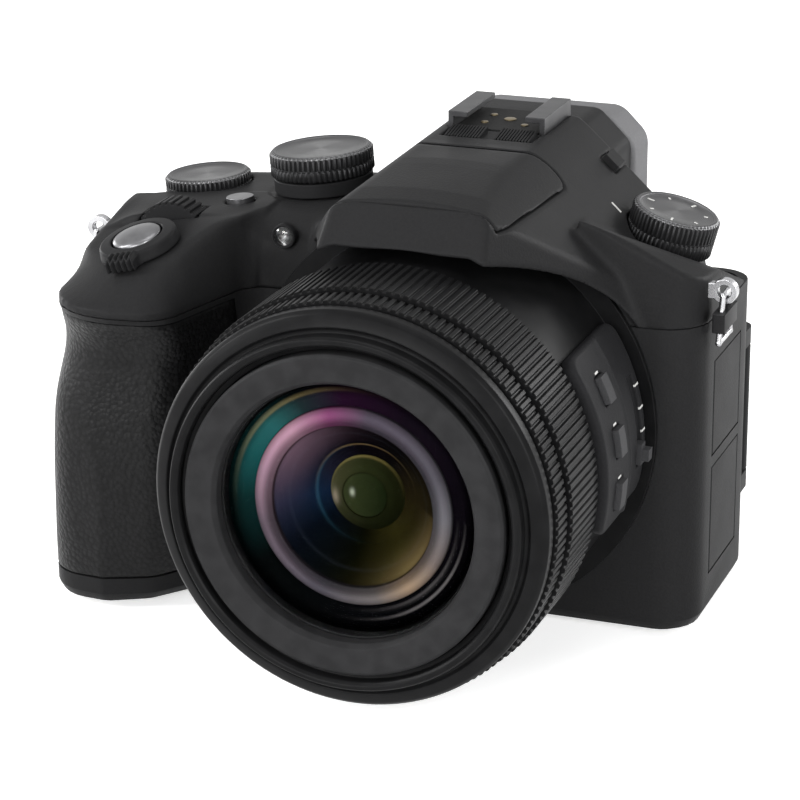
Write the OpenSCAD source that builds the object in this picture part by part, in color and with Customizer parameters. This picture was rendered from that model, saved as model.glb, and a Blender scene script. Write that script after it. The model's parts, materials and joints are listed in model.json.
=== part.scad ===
// Bridge camera: fixed zoom lens with two rings, deep hand grip, flash lid, side-swing monitor.
// Millimetres. +Z is up, the lens looks along -Y and the grip is on the -X side.
// The origin is the mouth of the tripod socket, straight under the lens axis.

/* [Casing] */
// Lens axis to the plain side wall
body_right = 51.5; // [50:0.5:56]
// Lens axis to the grip side wall at the top seam
body_left = 79.5; // [78:0.5:84]
// Extra reach of the grip side wall at the base
body_flare = 4; // [0:0.5:6]
// Tripod axis to the front face
body_front = 20; // [19:0.5:24]
// Tripod axis to the back face
body_back = 25; // [24:0.5:30]
// Height of the seam under the top cover
seam_z = 66; // [65:0.5:69]
// Wall thickness of the covers
wall = 2.2; // [1.8:0.1:2.6]
// Thickness of the base cover
base_t = 3; // [2.6:0.1:3.4]

/* [Grip] */
// Tripod axis to the front of the grip at the top seam
grip_reach = 50.5; // [47:0.5:54]
// How far the finger hollow is drawn in below the seam
finger_hollow = 6.2; // [3:0.2:7]
// How far the inner front edge of the grip leans to the grip side at the base
grip_lean = 8; // [4:0.5:9]
// Lens axis to the root of the grip on the front face
grip_root = 44.5; // [44:0.5:48]
// Thickness of the rubber skin
rubber_t = 1.1; // [0.8:0.1:1.4]

/* [Lens] */
// Clear height under the fixed barrel
lens_under = 4.4; // [4:0.1:6]
// Radius of the fixed barrel
barrel_r = 39.6; // [38.5:0.1:39.8]
// How far the side panel stands off the barrel
panel_t = 3.4; // [2.8:0.1:4]
// Radius over the ribs of the zoom ring
zoom_ring_r = 41.2; // [40.6:0.1:42]
// Radius over the ribs of the focus ring
focus_ring_r = 40.4; // [40:0.1:41.5]
// Tripod axis to the back end of the zoom ring
ring_back = 53.5; // [50:0.5:58]
// Length of the zoom ring
zoom_ring_len = 16.4; // [12:0.2:18]
// Length of the focus ring
focus_ring_len = 5.6; // [4:0.2:8]
// Radius of the filter thread
filter_r = 33.5; // [30:0.5:34]
// Depth of the filter thread
filter_depth = 3.4; // [2.5:0.1:4.5]
// Radius of the front glass
glass_r = 25.2; // [20:0.2:27]
// Travel of the zoom carriage
zoom_travel = 18; // [10:1:20]

/* [Top controls] */
// Height of the left deck over the top seam, at the mode dial
deck_h = 16; // [14:0.5:18]
// Radius of the mode dial
mode_r = 11; // [9:0.2:12]
// Height of the ribbed part of the mode dial
mode_h = 5; // [4:0.2:7]
// Radius of the rear dial
rear_dial_r = 9.3; // [8:0.1:10]
// Radius of the drive dial
drive_r = 9.2; // [8:0.1:10]
// Radius of the front dial
front_dial_r = 8; // [7:0.2:8.4]
// Radius of the shutter button
shutter_r = 5.2; // [4.5:0.1:6]
// Travel of the shutter button
shutter_travel = 1.6; // [0.8:0.1:2]
// Travel of the small push buttons
button_travel = 0.7; // [0.4:0.1:1]

/* [Hump] */
// Height of the hump over the arch above the lens
prow_h = 7.9; // [7:0.1:10]
// Half width of the flat top of the hump
hump_half = 12.8; // [12:0.2:15]
// Half width of the blank plate over the lens
plate_half = 16.2; // [15:0.2:18]
// Gap between the lips of the accessory shoe
shoe_gap = 12.6; // [12.5:0.05:12.7]
// Width of the channel of the accessory shoe
shoe_width = 18.7; // [18.6:0.05:19]
// Height of the slot under the shoe lips
shoe_slot = 2.1; // [2:0.05:2.4]
// Length of the accessory shoe
shoe_len = 18.2; // [17:0.2:20]

/* [Monitor] */
// Width of the monitor
monitor_w = 74; // [66:0.5:76]
// Height of the monitor
monitor_h = 56; // [48:0.5:57]
// Thickness of the monitor
monitor_t = 6.5; // [5:0.1:8]

/* [Sockets] */
// Radius of the tripod thread
tripod_r = 3.175; // [3.1:0.005:3.3]
// Depth of the tripod thread
tripod_depth = 5.5; // [4.5:0.1:6]

/* [Fits] */
// Gap beside a piece that turns or slides
gap = 0.35; // [0.25:0.05:0.5]
// Radial play of a shaft or pin in its hole
play = 0.25; // [0.15:0.05:0.3]

/* [Hidden] */
$fn = 48;
skin = 0.6;
far = 200;

// Colours
c_shell = [0.16, 0.16, 0.17];
c_rubber = [0.1, 0.1, 0.1];
c_metal = [0.62, 0.63, 0.65];
c_dark = [0.22, 0.22, 0.23];
c_glass = [0.35, 0.45, 0.5];
c_board = [0.1, 0.35, 0.2];

// Stations along the lens axis, front is negative
lens_z = barrel_r + lens_under;
ring_gap = 0.8;
zoom_y1 = -ring_back;
zoom_y0 = zoom_y1 - zoom_ring_len;
focus_y1 = zoom_y0 - ring_gap;
focus_y0 = focus_y1 - focus_ring_len;
bezel_y1 = focus_y0 - gap;
rim_y = bezel_y1 - 3.4;
nose_y = rim_y - 3.6;
shelf_y = nose_y + filter_depth + 0.4;
front_y = -body_front;
flange_y = front_y - 1.5;
mount_y = front_y + 6;
sleeve_r = zoom_ring_r - 3.4;
sleeve_in = sleeve_r - 2.3;
flange_r = barrel_r + 3.9;
opening_r = barrel_r + 0.2;
prow_clear_r = max(zoom_ring_r, barrel_r) + 3.4;
lip_clear_r = max(zoom_ring_r, barrel_r) + 1.4;
hump_z = lens_z + prow_clear_r + prow_h;

// Casing stations
split_y = body_back - 6;
cap_z = 6.5;
grip_tip = grip_root + 7.5;
grip_wrap = 4;
core_x = -grip_root - 15;
deck_z = seam_z + deck_h;
deck_tilt = 5;
mode_x = -36.5;
shoulder_tilt = 15;

// Dials and buttons on the top cover
mode_pos = [mode_x, 2, deck_z];
rear_dial_pos = [-65.5, 7, deck(-65.5)];
movie_pos = [-51, -9.5, deck(-51)];
front_dial_pos = [-62, -17.5, deck(-62) - front_dial_r + 2.8];
drive_pos = [37.5, 8, seam_z + 11.6];
shutter_pos = [-63.4, -32.5, deck_z - 6.2];
shutter_tilt = [13, -13, 0];
dial_shaft_r = 2.6;
collar_h = 3.4;
lever_r = shutter_r + 3.5;
lever_t = 2.8;
lamp_pos = [-37, front_y, deck_z - 4.5];
lamp_r = 2.65;
lamp_depth = 1.6;

// Shoe, flash lid and viewfinder
shoe_y0 = 6.7;
shoe_floor = hump_z - 1.3;
shoe_sheet = 0.8;
shoe_pad = 0.6;
lip_z0 = shoe_floor + shoe_sheet + shoe_pad + shoe_slot;
lip_t = 1.2;
shoe_half = shoe_width / 2 + 1.2;
plate_y0 = zoom_y1 + 3.3;
plate_y1 = zoom_y1 + 7.9;
plate_z0 = hump_z - 9.3;
// Foot of the hump's side slopes, and how steeply they fall
hump_foot = 31;
hump_foot_z = seam_z + 13.5;
hump_fall = (hump_z - hump_foot_z) / (hump_foot - hump_half);
hump_slope = atan2(1, hump_fall);
// Ridge over the lens on the right shoulder, and where the drive dial's seat begins behind it
ridge_pos = [hump_foot, front_y + 1.6, seam_z + 19.4];
ridge_turn = [-21.3, 13.3, 0];
seat_y0 = -3;
// Rounding of the left deck's long edges
deck_edge_r = 5;
plate_z1 = hump_z - 3.4;
lid_y0 = zoom_y1 + 8.5;
lid_pin_y = -9.5;
lid_pin_z = hump_z - 3.2;
lid_arc_r = 3.4;
knuckle_r = 2.2;
lid_under_z = hump_z - 5.7;
pin_r = 0.9;
tail_y = body_back + 14;
tail_half = 20;
cup_y0 = tail_y;
cup_y1 = body_back + 25;
cup_half = 20.8;
cup_z0 = seam_z + 1;
cup_z1 = hump_z - 3.3;
eye_z = (cup_z0 + cup_z1) / 2;
eye_half_w = 12.2;
eye_half_h = 7.2;
// Flash key: how far below the top of the hump it sits on the slope, and how deep its seat is
key_drop = 8;
key_seat = 1.6;
flash_key_pos = [hump_half + key_drop / hump_fall - key_seat * cos(hump_slope), body_back - 4.5,
    hump_z - key_drop - key_seat * sin(hump_slope)];
flash_key_half = 2.2;
flash_key_room = 4;
diopter_pos = [-tail_half, body_back + 7, eye_z - 2.1];
diopter_r = 4;
diopter_in = 2;

// Rear face
pad_y = body_back + 5;
hinge_x = body_right - 4.5;
hinge_y = body_back + 4.2;
hinge_r = 3;
hinge_z0 = 20;
hinge_z1 = 48;
ear_h = 4;
monitor_x1 = hinge_x - 5.8;
monitor_z0 = 6;
pad_x1 = monitor_x1 - monitor_w - 3 * gap;
pad_z0 = 9;
monitor_y0 = hinge_y - monitor_t / 2;
screen_t = 1.2;
screen_rim = 4;
ring_pos = [-53, pad_y, 30];
ring_r = 10.5;
set_r = 5;
play_pos = [-40, pad_y, 52];
lock_pos = [-47, pad_y, 58];
small_r = 2.9;
button_t = 2.6;
button_proud = 1.3;

// Side and base
door_y0 = -7;
door_y1 = 14;
door_t = 1.6;
door_in = body_right - door_t;
upper_z0 = 36;
upper_z1 = 56;
lower_z0 = 10;
lower_z1 = 33;
trunnion_r = 0.5;
lug_y = -12;
lug_z = seam_z + 7;
lug_root = 4.5;
lug_out = 2.2;
lug_hole = 1.4;
wire_r = 0.6;
bay_x0 = -76;
bay_x1 = -56;
bay_y0 = -26;
bay_y1 = 8;
battery_h = 49;
socket_r = 6.5;
hatch_z = 0.4;
hatch_t = base_t - hatch_z - 0.2;
screw_r = 1.8;
boss_r = 4;
boss_h = 6;
screw_places = [[body_right - wall - boss_r + 0.9, -13], [body_right - wall - boss_r + 0.9, 13],
    [-36, front_y + wall + boss_r - 1.2], [-left(base_t) + wall + boss_r - 0.3, 14]];
chassis_y = 9;
chassis_t = 1.5;
chassis_x0 = -44;
chassis_x1 = body_right - 5.5;
chassis_z0 = base_t + boss_h + 1;
chassis_z1 = seam_z - 4;
board_y = chassis_y + chassis_t + 2.5;
board_t = 1.6;

// Lens inside
rod_orbit = 29;
rod_r = 1.2;
carriage_y = -62;
carriage_len = 8;
carriage_r = 24.5;
variator_r = 18.4;
screw_orbit = -29.5;
lead_r = 1.5;
motor_r = 5;
motor_y0 = -31;
wheel_x = -18;
wheel_r = 26;
wheel_y = -10;
panel_r = barrel_r + panel_t;
panel_y0 = zoom_y1 + 1.2;
panel_y1 = flange_y - 1.5;
panel_a0 = -15;
panel_a1 = 36;
fn_angles = [23.5, 9, -5.5];
fn_y = panel_y0 + 8.5;
fn_len = 5.6;
fn_wide = 3.8;
nd_y = panel_y1 - 4.5;
nd_a0 = -2;
nd_travel = 18;

// Height of the sloping left deck at a distance from the lens axis
function deck(x) = deck_z + (x - mode_x) * tan(deck_tilt);
function unit(v) = v / norm(v);
function polar(a, r) = [r * cos(a), r * sin(a)];
function arc(c, r, a, b, n) = [for (i = [0:n]) c + polar(a + (b - a) * i / n, r)];
// Round one corner b between its neighbours a and c
function corner(a, b, c, r, n) =
    let (u = unit(a - b), v = unit(c - b), half = acos(u * v) / 2)
    let (m = b + unit(u + v) * r / sin(half))
    let (p = b + u * r / tan(half) - m, q = b + v * r / tan(half) - m)
    let (start = atan2(p.y, p.x), sweep = atan2(p.x * q.y - p.y * q.x, p * q))
    arc(m, r, start, start + sweep, n);
// Outline from corners given as [x, y, radius]
function rounded(k, n = 6) = [for (i = [0:len(k) - 1])
    let (a = k[(i + len(k) - 1) % len(k)], b = k[i], c = k[(i + 1) % len(k)])
    each b[2] == 0 ? [[b.x, b.y]] : corner([a.x, a.y], [b.x, b.y], [c.x, c.y], b[2], n)];
function box2(x0, x1, y0, y1, r) = rounded([[x1, y0, r], [x1, y1, r], [x0, y1, r], [x0, y0, r]]);
// Outline of a wheel with straight ribs
function ribs(r, n, depth) = [for (i = [0:n - 1]) let (s = 360 / n, a = i * s)
    each [polar(a, r), polar(a + s * 0.5, r), polar(a + s * 0.62, r - depth),
        polar(a + s * 0.88, r - depth)]];
function left(z) = body_left + body_flare * (seam_z - z) / seam_z;
function reach(z) = grip_reach - lookup(z, [[0, 6], [14, 4.7], [34, 3.9], [43, 4.1],
    [50, finger_hollow * 0.85], [57, finger_hollow], [61, finger_hollow * 0.6], [seam_z, 0]]);
// Inner front corner of the grip, its set-back, the rounded heel and the ridge between them
function tip(z) = grip_tip + grip_lean * (seam_z - z) / seam_z;
function tip_back(z) = lookup(z, [[0, 4.2], [46, 3.4], [57, 2.2], [seam_z, 1.5]]);
function heel_r(z) = lookup(z, [[0, 10], [30, 8], [46, 8], [57, 13], [seam_z, 15]]);
function ridge(z) = left(z) -
    lookup(z, [[0, 14], [28, 13.2], [40, 10.4], [46, 9.4], [57, 14.2], [seam_z, 16.5]]);
function stations(z0, z1) = concat([z0],
    [for (z = [8, 14, 20, 28, 34, 40, 43, 46, 50, 53.5, 57, 61]) if (z > z0 && z < z1) z], [z1]);
// Plan outline of the casing at a height, drawn in by i
function plan(z, i) = rounded([
    [body_right - i, front_y + i, 9 - i], [body_right - i, body_back - i, 7 - i],
    [-left(z) + i, body_back - i, 12 - i], [-left(z) + i, -reach(z) + 1 + i, heel_r(z) - i],
    [-ridge(z), -reach(z) + i, 3], [-tip(z) - i, -reach(z) + tip_back(z) + i, 8 - i],
    [-grip_root - i, front_y + i, 6 + i]]);
function ring(z, i) = [for (p = plan(z, i)) [p.x, p.y, z]];

// Skin a stack of rings, with flat ends fanned from a core point that sees the whole outline
module loft(rings) {
    n = len(rings[0]);
    m = len(rings);
    low = m * n;
    high = low + 1;
    sides = [for (k = [0:m - 2]) for (i = [0:n - 1]) let (j = (i + 1) % n)
        each [[k * n + i, k * n + n + i, k * n + n + j], [k * n + i, k * n + n + j, k * n + j]]];
    ends = [for (i = [0:n - 1]) let (j = (i + 1) % n, t = (m - 1) * n)
        each [[i, j, low], [t + j, t + i, high]]];
    cores = [[core_x, 0, rings[0][0].z], [core_x, 0, rings[m - 1][0].z]];
    polyhedron(concat([for (r = rings) each r], cores), concat(sides, ends));
}

module casing(i, z0, z1) {
    loft([for (z = stations(z0, z1)) ring(z, i)]);
}

module block(a, b) {
    translate(a) cube(b - a);
}

// Extrude an outline drawn in X and Z from y0 to y1
module along_y(y0, y1) {
    translate([0, y1, 0]) rotate([90, 0, 0]) linear_extrude(y1 - y0) children();
}

// Extrude an outline drawn in Y and Z from x0 to x1
module along_x(x0, x1) {
    translate([x0, 0, 0]) rotate([90, 0, 90]) linear_extrude(x1 - x0) children();
}

// Turn a profile of [radius, y] about the lens axis
module turned(profile) {
    translate([0, 0, lens_z]) rotate([-90, 0, 0]) rotate_extrude($fn = 96) polygon(profile);
}

module tube(r_out, r_in, y0, y1) {
    turned([[r_in, y0], [r_out, y0], [r_out, y1], [r_in, y1]]);
}

module rod_y(r, y0, y1) {
    translate([0, y0, 0]) rotate([-90, 0, 0]) cylinder(r = r, h = y1 - y0);
}

module rod_x(r, x0, x1) {
    translate([x0, 0, 0]) rotate([0, 90, 0]) cylinder(r = r, h = x1 - x0);
}

// Turn a piece drawn at the +X side of the lens to an angle about the lens axis
module around_lens(a) {
    translate([0, 0, lens_z]) rotate([0, -a, 0]) children();
}

module on_deck(p) {
    translate(p) rotate([0, -deck_tilt, 0]) children();
}

module on_shoulder() {
    translate(drive_pos) rotate([0, shoulder_tilt, 0]) children();
}

// The seat of the flash key on the hump's right slope, with X pointing out of it
module on_slope() {
    translate(flash_key_pos) rotate([0, -hump_slope, 0]) children();
}

module on_grip() {
    translate(shutter_pos) rotate(shutter_tilt) children();
}

module ribbed(r, h, n, depth) {
    linear_extrude(h) polygon(ribs(r, n, depth));
}

// The hump with its prow over the lens, without holes
module hump() {
    intersection() {
        hull() {
            for (p = [[plate_half - skin, plate_y1, plate_z1], [plate_half + 0.4, plate_y0, plate_z0],
                [hump_half - skin, -6, hump_z - skin], [hump_half - skin, body_back - 1, hump_z - skin]])
                for (s = [-1, 1])
                    translate([s * p.x, p.y, p.z]) sphere(skin, $fn = 16);
            for (p = [[-28, front_y + 1, deck(-28)], [hump_foot, front_y + 1, seam_z + 19],
                [38, front_y + 1, seam_z + skin],
                [hump_foot, body_back - 1, hump_foot_z - 1], [-28, body_back - 1, deck(-28)],
                [-28, front_y + 1, seam_z + skin],
                [-28, body_back - 1, seam_z + skin], [38, body_back - 1, seam_z + skin]])
                translate(p) sphere(skin, $fn = 16);
        }
        along_y(-far, far) polygon(hump_section());
    }
}

// Section of the hump across the camera: its flat top and the slopes down to the shoulders
function hump_section() = concat([for (s = [1, -1]) [s * hump_half, hump_z]],
    [[-hump_foot - 1, hump_foot_z], [-hump_foot - 1, seam_z - 1], [far, seam_z - 1]],
    [[hump_foot + 10, hump_foot_z - 10 * hump_fall], [hump_foot, hump_foot_z]]);

// Outline of the viewfinder window
function eye_outline() = box2(-eye_half_w, eye_half_w, eye_z - eye_half_h, eye_z + eye_half_h, 2);

// Side profile of the flash lid in Y and Z, grown by g
function lid_profile(g) = concat([[lid_y0 - g, lid_under_z - g], [lid_y0 - g, hump_z + 2],
    [lid_pin_y, hump_z + 2]], arc([lid_pin_y, lid_pin_z], lid_arc_r + g, 90, -90, 14));

module grip_zone() {
    block([-far, -far, cap_z], [-grip_root - 1.5, grip_wrap, seam_z - 1.2]);
}

module grip_skin() {
    difference() {
        intersection() {
            casing(0, base_t, seam_z);
            grip_zone();
        }
        casing(rubber_t, base_t - 1, seam_z + 1);
    }
}

module door_hole(z0, z1) {
    block([body_right - wall - 2, door_y0 - gap, z0 - gap], [body_right + 3, door_y1 + gap, z1 + gap]);
    translate([door_in + door_t / 2, door_y0 + door_t / 2, z0 - gap - 1.2])
        cylinder(r = trunnion_r + play, h = z1 - z0 + 2 * gap + 2.4);
}

module front_cover() {
    color(c_shell) difference() {
        union() {
            difference() {
                intersection() {
                    casing(0, base_t, seam_z);
                    block([-far, -far, 0], [far, split_y, far]);
                }
                casing(wall, base_t - 1, seam_z + 1);
            }
            for (p = screw_places)
                translate([p.x, p.y, base_t]) cylinder(r = boss_r, h = boss_h);
        }
        grip_skin();
        tube(opening_r, 0, front_y - 9, mount_y + 1);
        tube(flange_r + gap, 0, front_y - 9, front_y);
        door_hole(upper_z0, upper_z1);
        door_hole(lower_z0, lower_z1);
        for (p = screw_places)
            translate([p.x, p.y, base_t - 1]) cylinder(r = 1, h = 8);
    }
}

module rear_cover() {
    color(c_shell) difference() {
        union() {
            difference() {
                intersection() {
                    casing(0, base_t, seam_z);
                    block([-far, split_y, 0], [far, far, far]);
                }
                casing(wall, base_t - 1, seam_z + 1);
            }
            along_y(body_back, pad_y)
                polygon(box2(-body_left + 5, pad_x1, pad_z0, seam_z - 2, 5));
            for (z = [hinge_z0 - gap - ear_h, hinge_z1 + gap])
                translate([0, 0, z]) {
                    translate([hinge_x, hinge_y, 0]) cylinder(r = hinge_r, h = ear_h);
                    block([hinge_x - hinge_r, body_back, 0], [hinge_x + hinge_r, hinge_y, ear_h]);
                }
        }
        translate([hinge_x, hinge_y, 0]) cylinder(r = pin_r, h = far);
        translate(ring_pos) rod_y(ring_r + gap, -button_t, 9);
        for (p = [play_pos, lock_pos])
            translate(p) rod_y(small_r + gap, -button_t, 9);
        thumb_pad(0);
    }
}

// Thumb rest on the rear pad, set in by one skin thickness
module thumb_pad(g) {
    along_y(pad_y - rubber_t, pad_y + g)
        polygon(box2(-body_left + 8, -60, 44, seam_z - 5, 5));
}

module grip_rubber() {
    color(c_rubber) {
        grip_skin();
        thumb_pad(0.8);
    }
}

module base_cover() {
    color(c_shell) difference() {
        loft([ring(0, 3.2), ring(base_t * 0.35, 1), ring(base_t, 0)]);
        block([bay_x0 - gap, bay_y0 - gap, -1], [bay_x1 + gap, bay_y1 + gap, far]);
        translate([bay_x1 - hatch_t / 2, 0, hatch_z + hatch_t / 2])
            rod_y(trunnion_r + play, bay_y0 - gap - 1.2, bay_y1 + gap + 1.2);
        cylinder(r = socket_r, h = far, center = true);
        for (p = screw_places)
            translate([p.x, p.y, -1]) {
                cylinder(r = screw_r + 0.2, h = 2.6);
                cylinder(r = 1 + play, h = far);
            }
    }
}

module left_deck() {
    intersection() {
        along_y(front_y, body_back)
            polygon(rounded([[-body_left, seam_z, 0], [-20, seam_z, 0], [-20, deck(-20), 0],
                [-body_left, deck(-body_left), 11]]));
        translate([0, 0, seam_z]) linear_extrude(far) polygon(plan(seam_z, 0));
        on_deck(mode_pos) translate([0, -mode_pos.y, 0]) along_x(-far, far)
            polygon(rounded([[front_y, -far, 0], [front_y, 0, deck_edge_r], [body_back, 0, deck_edge_r],
                [body_back, -far, 0]]));
    }
}

module right_shoulder() {
    difference() {
        hull() {
            translate([0, 0, seam_z]) linear_extrude(1) intersection() {
                polygon(plan(seam_z, 0));
                translate([26, -far]) square(2 * far);
            }
            for (p = [[hump_foot, front_y + 3, seam_z + 18.5], [body_right - 4, front_y + 4, seam_z + 13.5],
                [body_right - 2, 0, seam_z + 7]])
                translate(p) sphere(1, $fn = 16);
            translate([body_right - 7, body_back - 7, seam_z + 8]) cylinder(r = 6, h = 1, $fn = 32);
            translate([28, body_back - 3, seam_z + 13.5]) sphere(1, $fn = 16);
        }
        // Hollow behind the ridge, down to the seat of the drive dial
        translate(ridge_pos) rotate(ridge_turn) block([-far, -far, 0], [far, far, far]);
        on_shoulder() block([-far, seat_y0 - drive_pos.y, 0], [far, far, far]);
    }
}

// Outline of the sloping platform round the shutter button
function platform() = rounded([[-15.5, 5.5, 5], [-5.6, -6.3, 9], [2.9, -11.1, 7], [9.9, -4, 5],
    [12, 5.5, 5]]);

module grip_housing() {
    hull() {
        translate([0, 0, seam_z]) linear_extrude(2) intersection() {
            polygon(plan(seam_z, 0));
            translate([-far, -far]) square([far - grip_root, far - 8]);
        }
        on_grip() translate([0, 0, -1]) linear_extrude(1) polygon(platform());
        translate([-68, -12, deck(-68) - 4]) sphere(4, $fn = 16);
        translate([-52, -12, deck(-52) - 3]) sphere(3, $fn = 16);
    }
}

module viewfinder_tail() {
    along_y(body_back - 1, tail_y)
        polygon(rounded([[tail_half, seam_z, 0], [tail_half, hump_z - 8.5, 4], [hump_half, hump_z - 1.5, 4],
            [-hump_half, hump_z - 1.5, 4], [-tail_half, hump_z - 8.5, 4], [-tail_half, seam_z, 0]]));
}

module lug_tongue() {
    block([body_right - lug_root, lug_y - 1, lug_z - 1.6], [body_right + lug_out, lug_y + 1, lug_z + 1.6]);
}

module lug_tongue_left() {
    block([-body_left - lug_out, lug_y - 1, lug_z - 1.6], [-body_left + lug_root, lug_y + 1, lug_z + 1.6]);
}

module top_cover() {
    color(c_shell) difference() {
        union() {
            left_deck();
            hump();
            right_shoulder();
            grip_housing();
            viewfinder_tail();
        }
        tube(prow_clear_r, 0, zoom_y1 + 9, front_y);
        tube(lip_clear_r, 0, -far, front_y);
        tube(opening_r, 0, front_y - 1, mount_y + 1);
        // Hollows
        block([-72, front_y + 2.5, seam_z - 1], [28, body_back - 2.4, seam_z + 6]);
        block([27, front_y + 4, seam_z - 1], [body_right - 2.5, body_back - 4, seam_z + 3.5]);
        block([-73, -grip_reach + 10, seam_z - 1], [-grip_tip, front_y + 3, seam_z + 3]);
        block([-tail_half + 3, -4, seam_z + 5], [tail_half - 3, body_back - 2.4, hump_z - 8]);
        along_y(-3, tail_y + 1) polygon(eye_outline());
        // Flash lid bay
        difference() {
            along_x(-far, far) polygon(lid_profile(gap));
            translate([0, lid_pin_y, lid_pin_z]) rod_x(knuckle_r, -4, 4);
            block([-4, lid_pin_y - 2, lid_pin_z - 9], [4, lid_pin_y + 6, lid_pin_z]);
        }
        translate([0, lid_pin_y, lid_pin_z]) rod_x(pin_r, -11, 11);
        // Accessory shoe and microphone slots
        block([-shoe_half, shoe_y0, shoe_floor], [shoe_half, shoe_y0 + shoe_len, far]);
        for (s = [-1, 1])
            for (k = [0:4])
                block([s * 6 - 3.6, 0.4 + k * 1.2, hump_z - 1.2], [s * 6 + 3.6, 1 + k * 1.2, far]);
        // Controls
        on_deck(mode_pos) {
            cylinder(r = mode_r + 2 * gap, h = far);
            cylinder(r = dial_shaft_r + play, h = far, center = true);
        }
        on_deck(rear_dial_pos) {
            translate([0, 0, -2.6]) cylinder(r = rear_dial_r + gap, h = 20);
            cylinder(r = dial_shaft_r + play, h = far, center = true);
        }
        on_deck(movie_pos) translate([0, 0, -button_t]) cylinder(r = small_r + gap, h = 9);
        translate(front_dial_pos) rod_y(front_dial_r + gap, -3 - gap, 3 + gap);
        translate(front_dial_pos) rod_y(1.2 + play, -6, 6);
        on_shoulder() {
            translate([0, 0, -3]) cylinder(r = drive_r + gap, h = 30);
            cylinder(r = dial_shaft_r + play, h = 24, center = true);
        }
        on_grip() cylinder(r = 2 + play, h = 24, center = true);
        translate(lamp_pos) rod_y(lamp_r, -1, lamp_depth);
        on_slope()
            block([0, -flash_key_room, -flash_key_half], [9, flash_key_room, flash_key_half]);
        translate(diopter_pos) rod_x(diopter_r + gap, -5, diopter_in);
        lug_tongue();
        lug_tongue_left();
    }
}

module lens_barrel() {
    color(c_dark) difference() {
        turned([[sleeve_in, bezel_y1], [sleeve_r, bezel_y1], [sleeve_r, focus_y1 + 0.2],
            [sleeve_r + 1.2, focus_y1 + 0.2], [sleeve_r + 1.2, zoom_y0 - 0.2], [sleeve_r, zoom_y0 - 0.2],
            [sleeve_r, zoom_y1 + gap], [barrel_r, zoom_y1 + gap], [barrel_r, flange_y],
            [flange_r, flange_y], [flange_r, front_y], [barrel_r, front_y], [barrel_r, mount_y],
            [24, mount_y], [24, mount_y - 2], [sleeve_in, mount_y - 2]]);
        for (s = [-1, 1])
            translate([s * rod_orbit, 0, lens_z]) rod_y(rod_r, mount_y - 5, mount_y + 1);
        translate([0, 0, lens_z + screw_orbit]) rod_y(lead_r + play, mount_y - 5, mount_y + 1);
    }
}

module front_bezel() {
    color(c_dark) turned([[glass_r - 2.2, shelf_y + 4], [glass_r - 2.2, shelf_y + 2.6],
        [glass_r + 0.2, shelf_y + 2.6], [glass_r + 0.2, shelf_y], [filter_r, shelf_y],
        [filter_r, nose_y + 0.6], [filter_r + 0.7, nose_y], [filter_r + 1.5, nose_y],
        [filter_r + 1.9, nose_y + 0.6], [filter_r + 1.9, rim_y - 0.8], [filter_r + 2.6, rim_y - 0.8],
        [filter_r + 3.2, rim_y - 1.5], [focus_ring_r - 1.2, rim_y], [focus_ring_r - 0.7, rim_y + 0.6],
        [focus_ring_r - 0.7, bezel_y1], [sleeve_in - 0.2, bezel_y1], [sleeve_in - 0.2, shelf_y + 4]]);
}

module name_ring() {
    color(c_dark) turned([[glass_r + 0.7, shelf_y], [glass_r + 0.7, shelf_y - 2.6],
        [glass_r + 1.6, nose_y + 0.3], [filter_r - 1.9, nose_y], [filter_r - 1.3, nose_y + 0.5],
        [filter_r - 1.3, shelf_y]]);
}

// Points of a round lens face from the axis out to radius r, apex at y, bulging by sag at the rim
function lens_face(r, y, sag, n) = [for (i = [0:n]) [r * i / n, y + sag * i * i / (n * n)]];

module front_element() {
    back = lens_face(glass_r - 2, shelf_y - 0.6, 3.2, 8);
    turned_back = [for (i = [len(back) - 1:-1:0]) back[i]];
    color(c_glass) turned(concat(lens_face(glass_r, nose_y, shelf_y - nose_y - 0.4, 12),
        [[glass_r, shelf_y + 2.6]], turned_back));
}

module panel_sector(r0, r1, y0, y1, a0, a1) {
    intersection() {
        tube(r1, r0, y0, y1);
        translate([0, 0, lens_z]) along_y(y0, y1)
            polygon([[0, 0], polar(a0, 80), polar((a0 + a1) / 2, 80), polar(a1, 80)]);
    }
}

module lens_panel() {
    color(c_dark) difference() {
        panel_sector(barrel_r + 0.03, panel_r, panel_y0, panel_y1, panel_a0, panel_a1);
        for (a = fn_angles)
            around_lens(a) block([panel_r - 2.6, fn_y - fn_wide / 2 - gap, -fn_len / 2 - gap],
                [panel_r + 5, fn_y + fn_wide / 2 + gap, fn_len / 2 + gap]);
        panel_sector(panel_r - 2.2, panel_r + 9, nd_y - 1.7, nd_y + 1.7,
            nd_a0 - 4, nd_a0 + nd_travel + 4);
    }
}

module fn_button(a) {
    half = asin(fn_len / 2 / panel_r);
    color(c_dark) panel_sector(panel_r - 1.6, panel_r + 0.8, fn_y - fn_wide / 2, fn_y + fn_wide / 2,
        a - half, a + half);
}

module fn_button_1() {
    fn_button(fn_angles[0]);
}

module fn_button_2() {
    fn_button(fn_angles[1]);
}

module fn_button_3() {
    fn_button(fn_angles[2]);
}

module nd_switch() {
    color(c_dark) {
        panel_sector(panel_r - 1.9, panel_r - 0.3, nd_y - 1.3, nd_y + 1.3, nd_a0 - 3, nd_a0 + 3);
        panel_sector(panel_r - 0.6, panel_r + 1.2, nd_y - 1.2, nd_y + 1.2, nd_a0 - 1.6, nd_a0 + 1.6);
    }
}

module zoom_ring() {
    color(c_dark) translate([0, zoom_y0, lens_z]) rotate([-90, 0, 0]) difference() {
        ribbed(zoom_ring_r, zoom_ring_len, 150, 0.5);
        translate([0, 0, -1]) cylinder(r = sleeve_r + gap, h = far, $fn = 96);
    }
}

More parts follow.
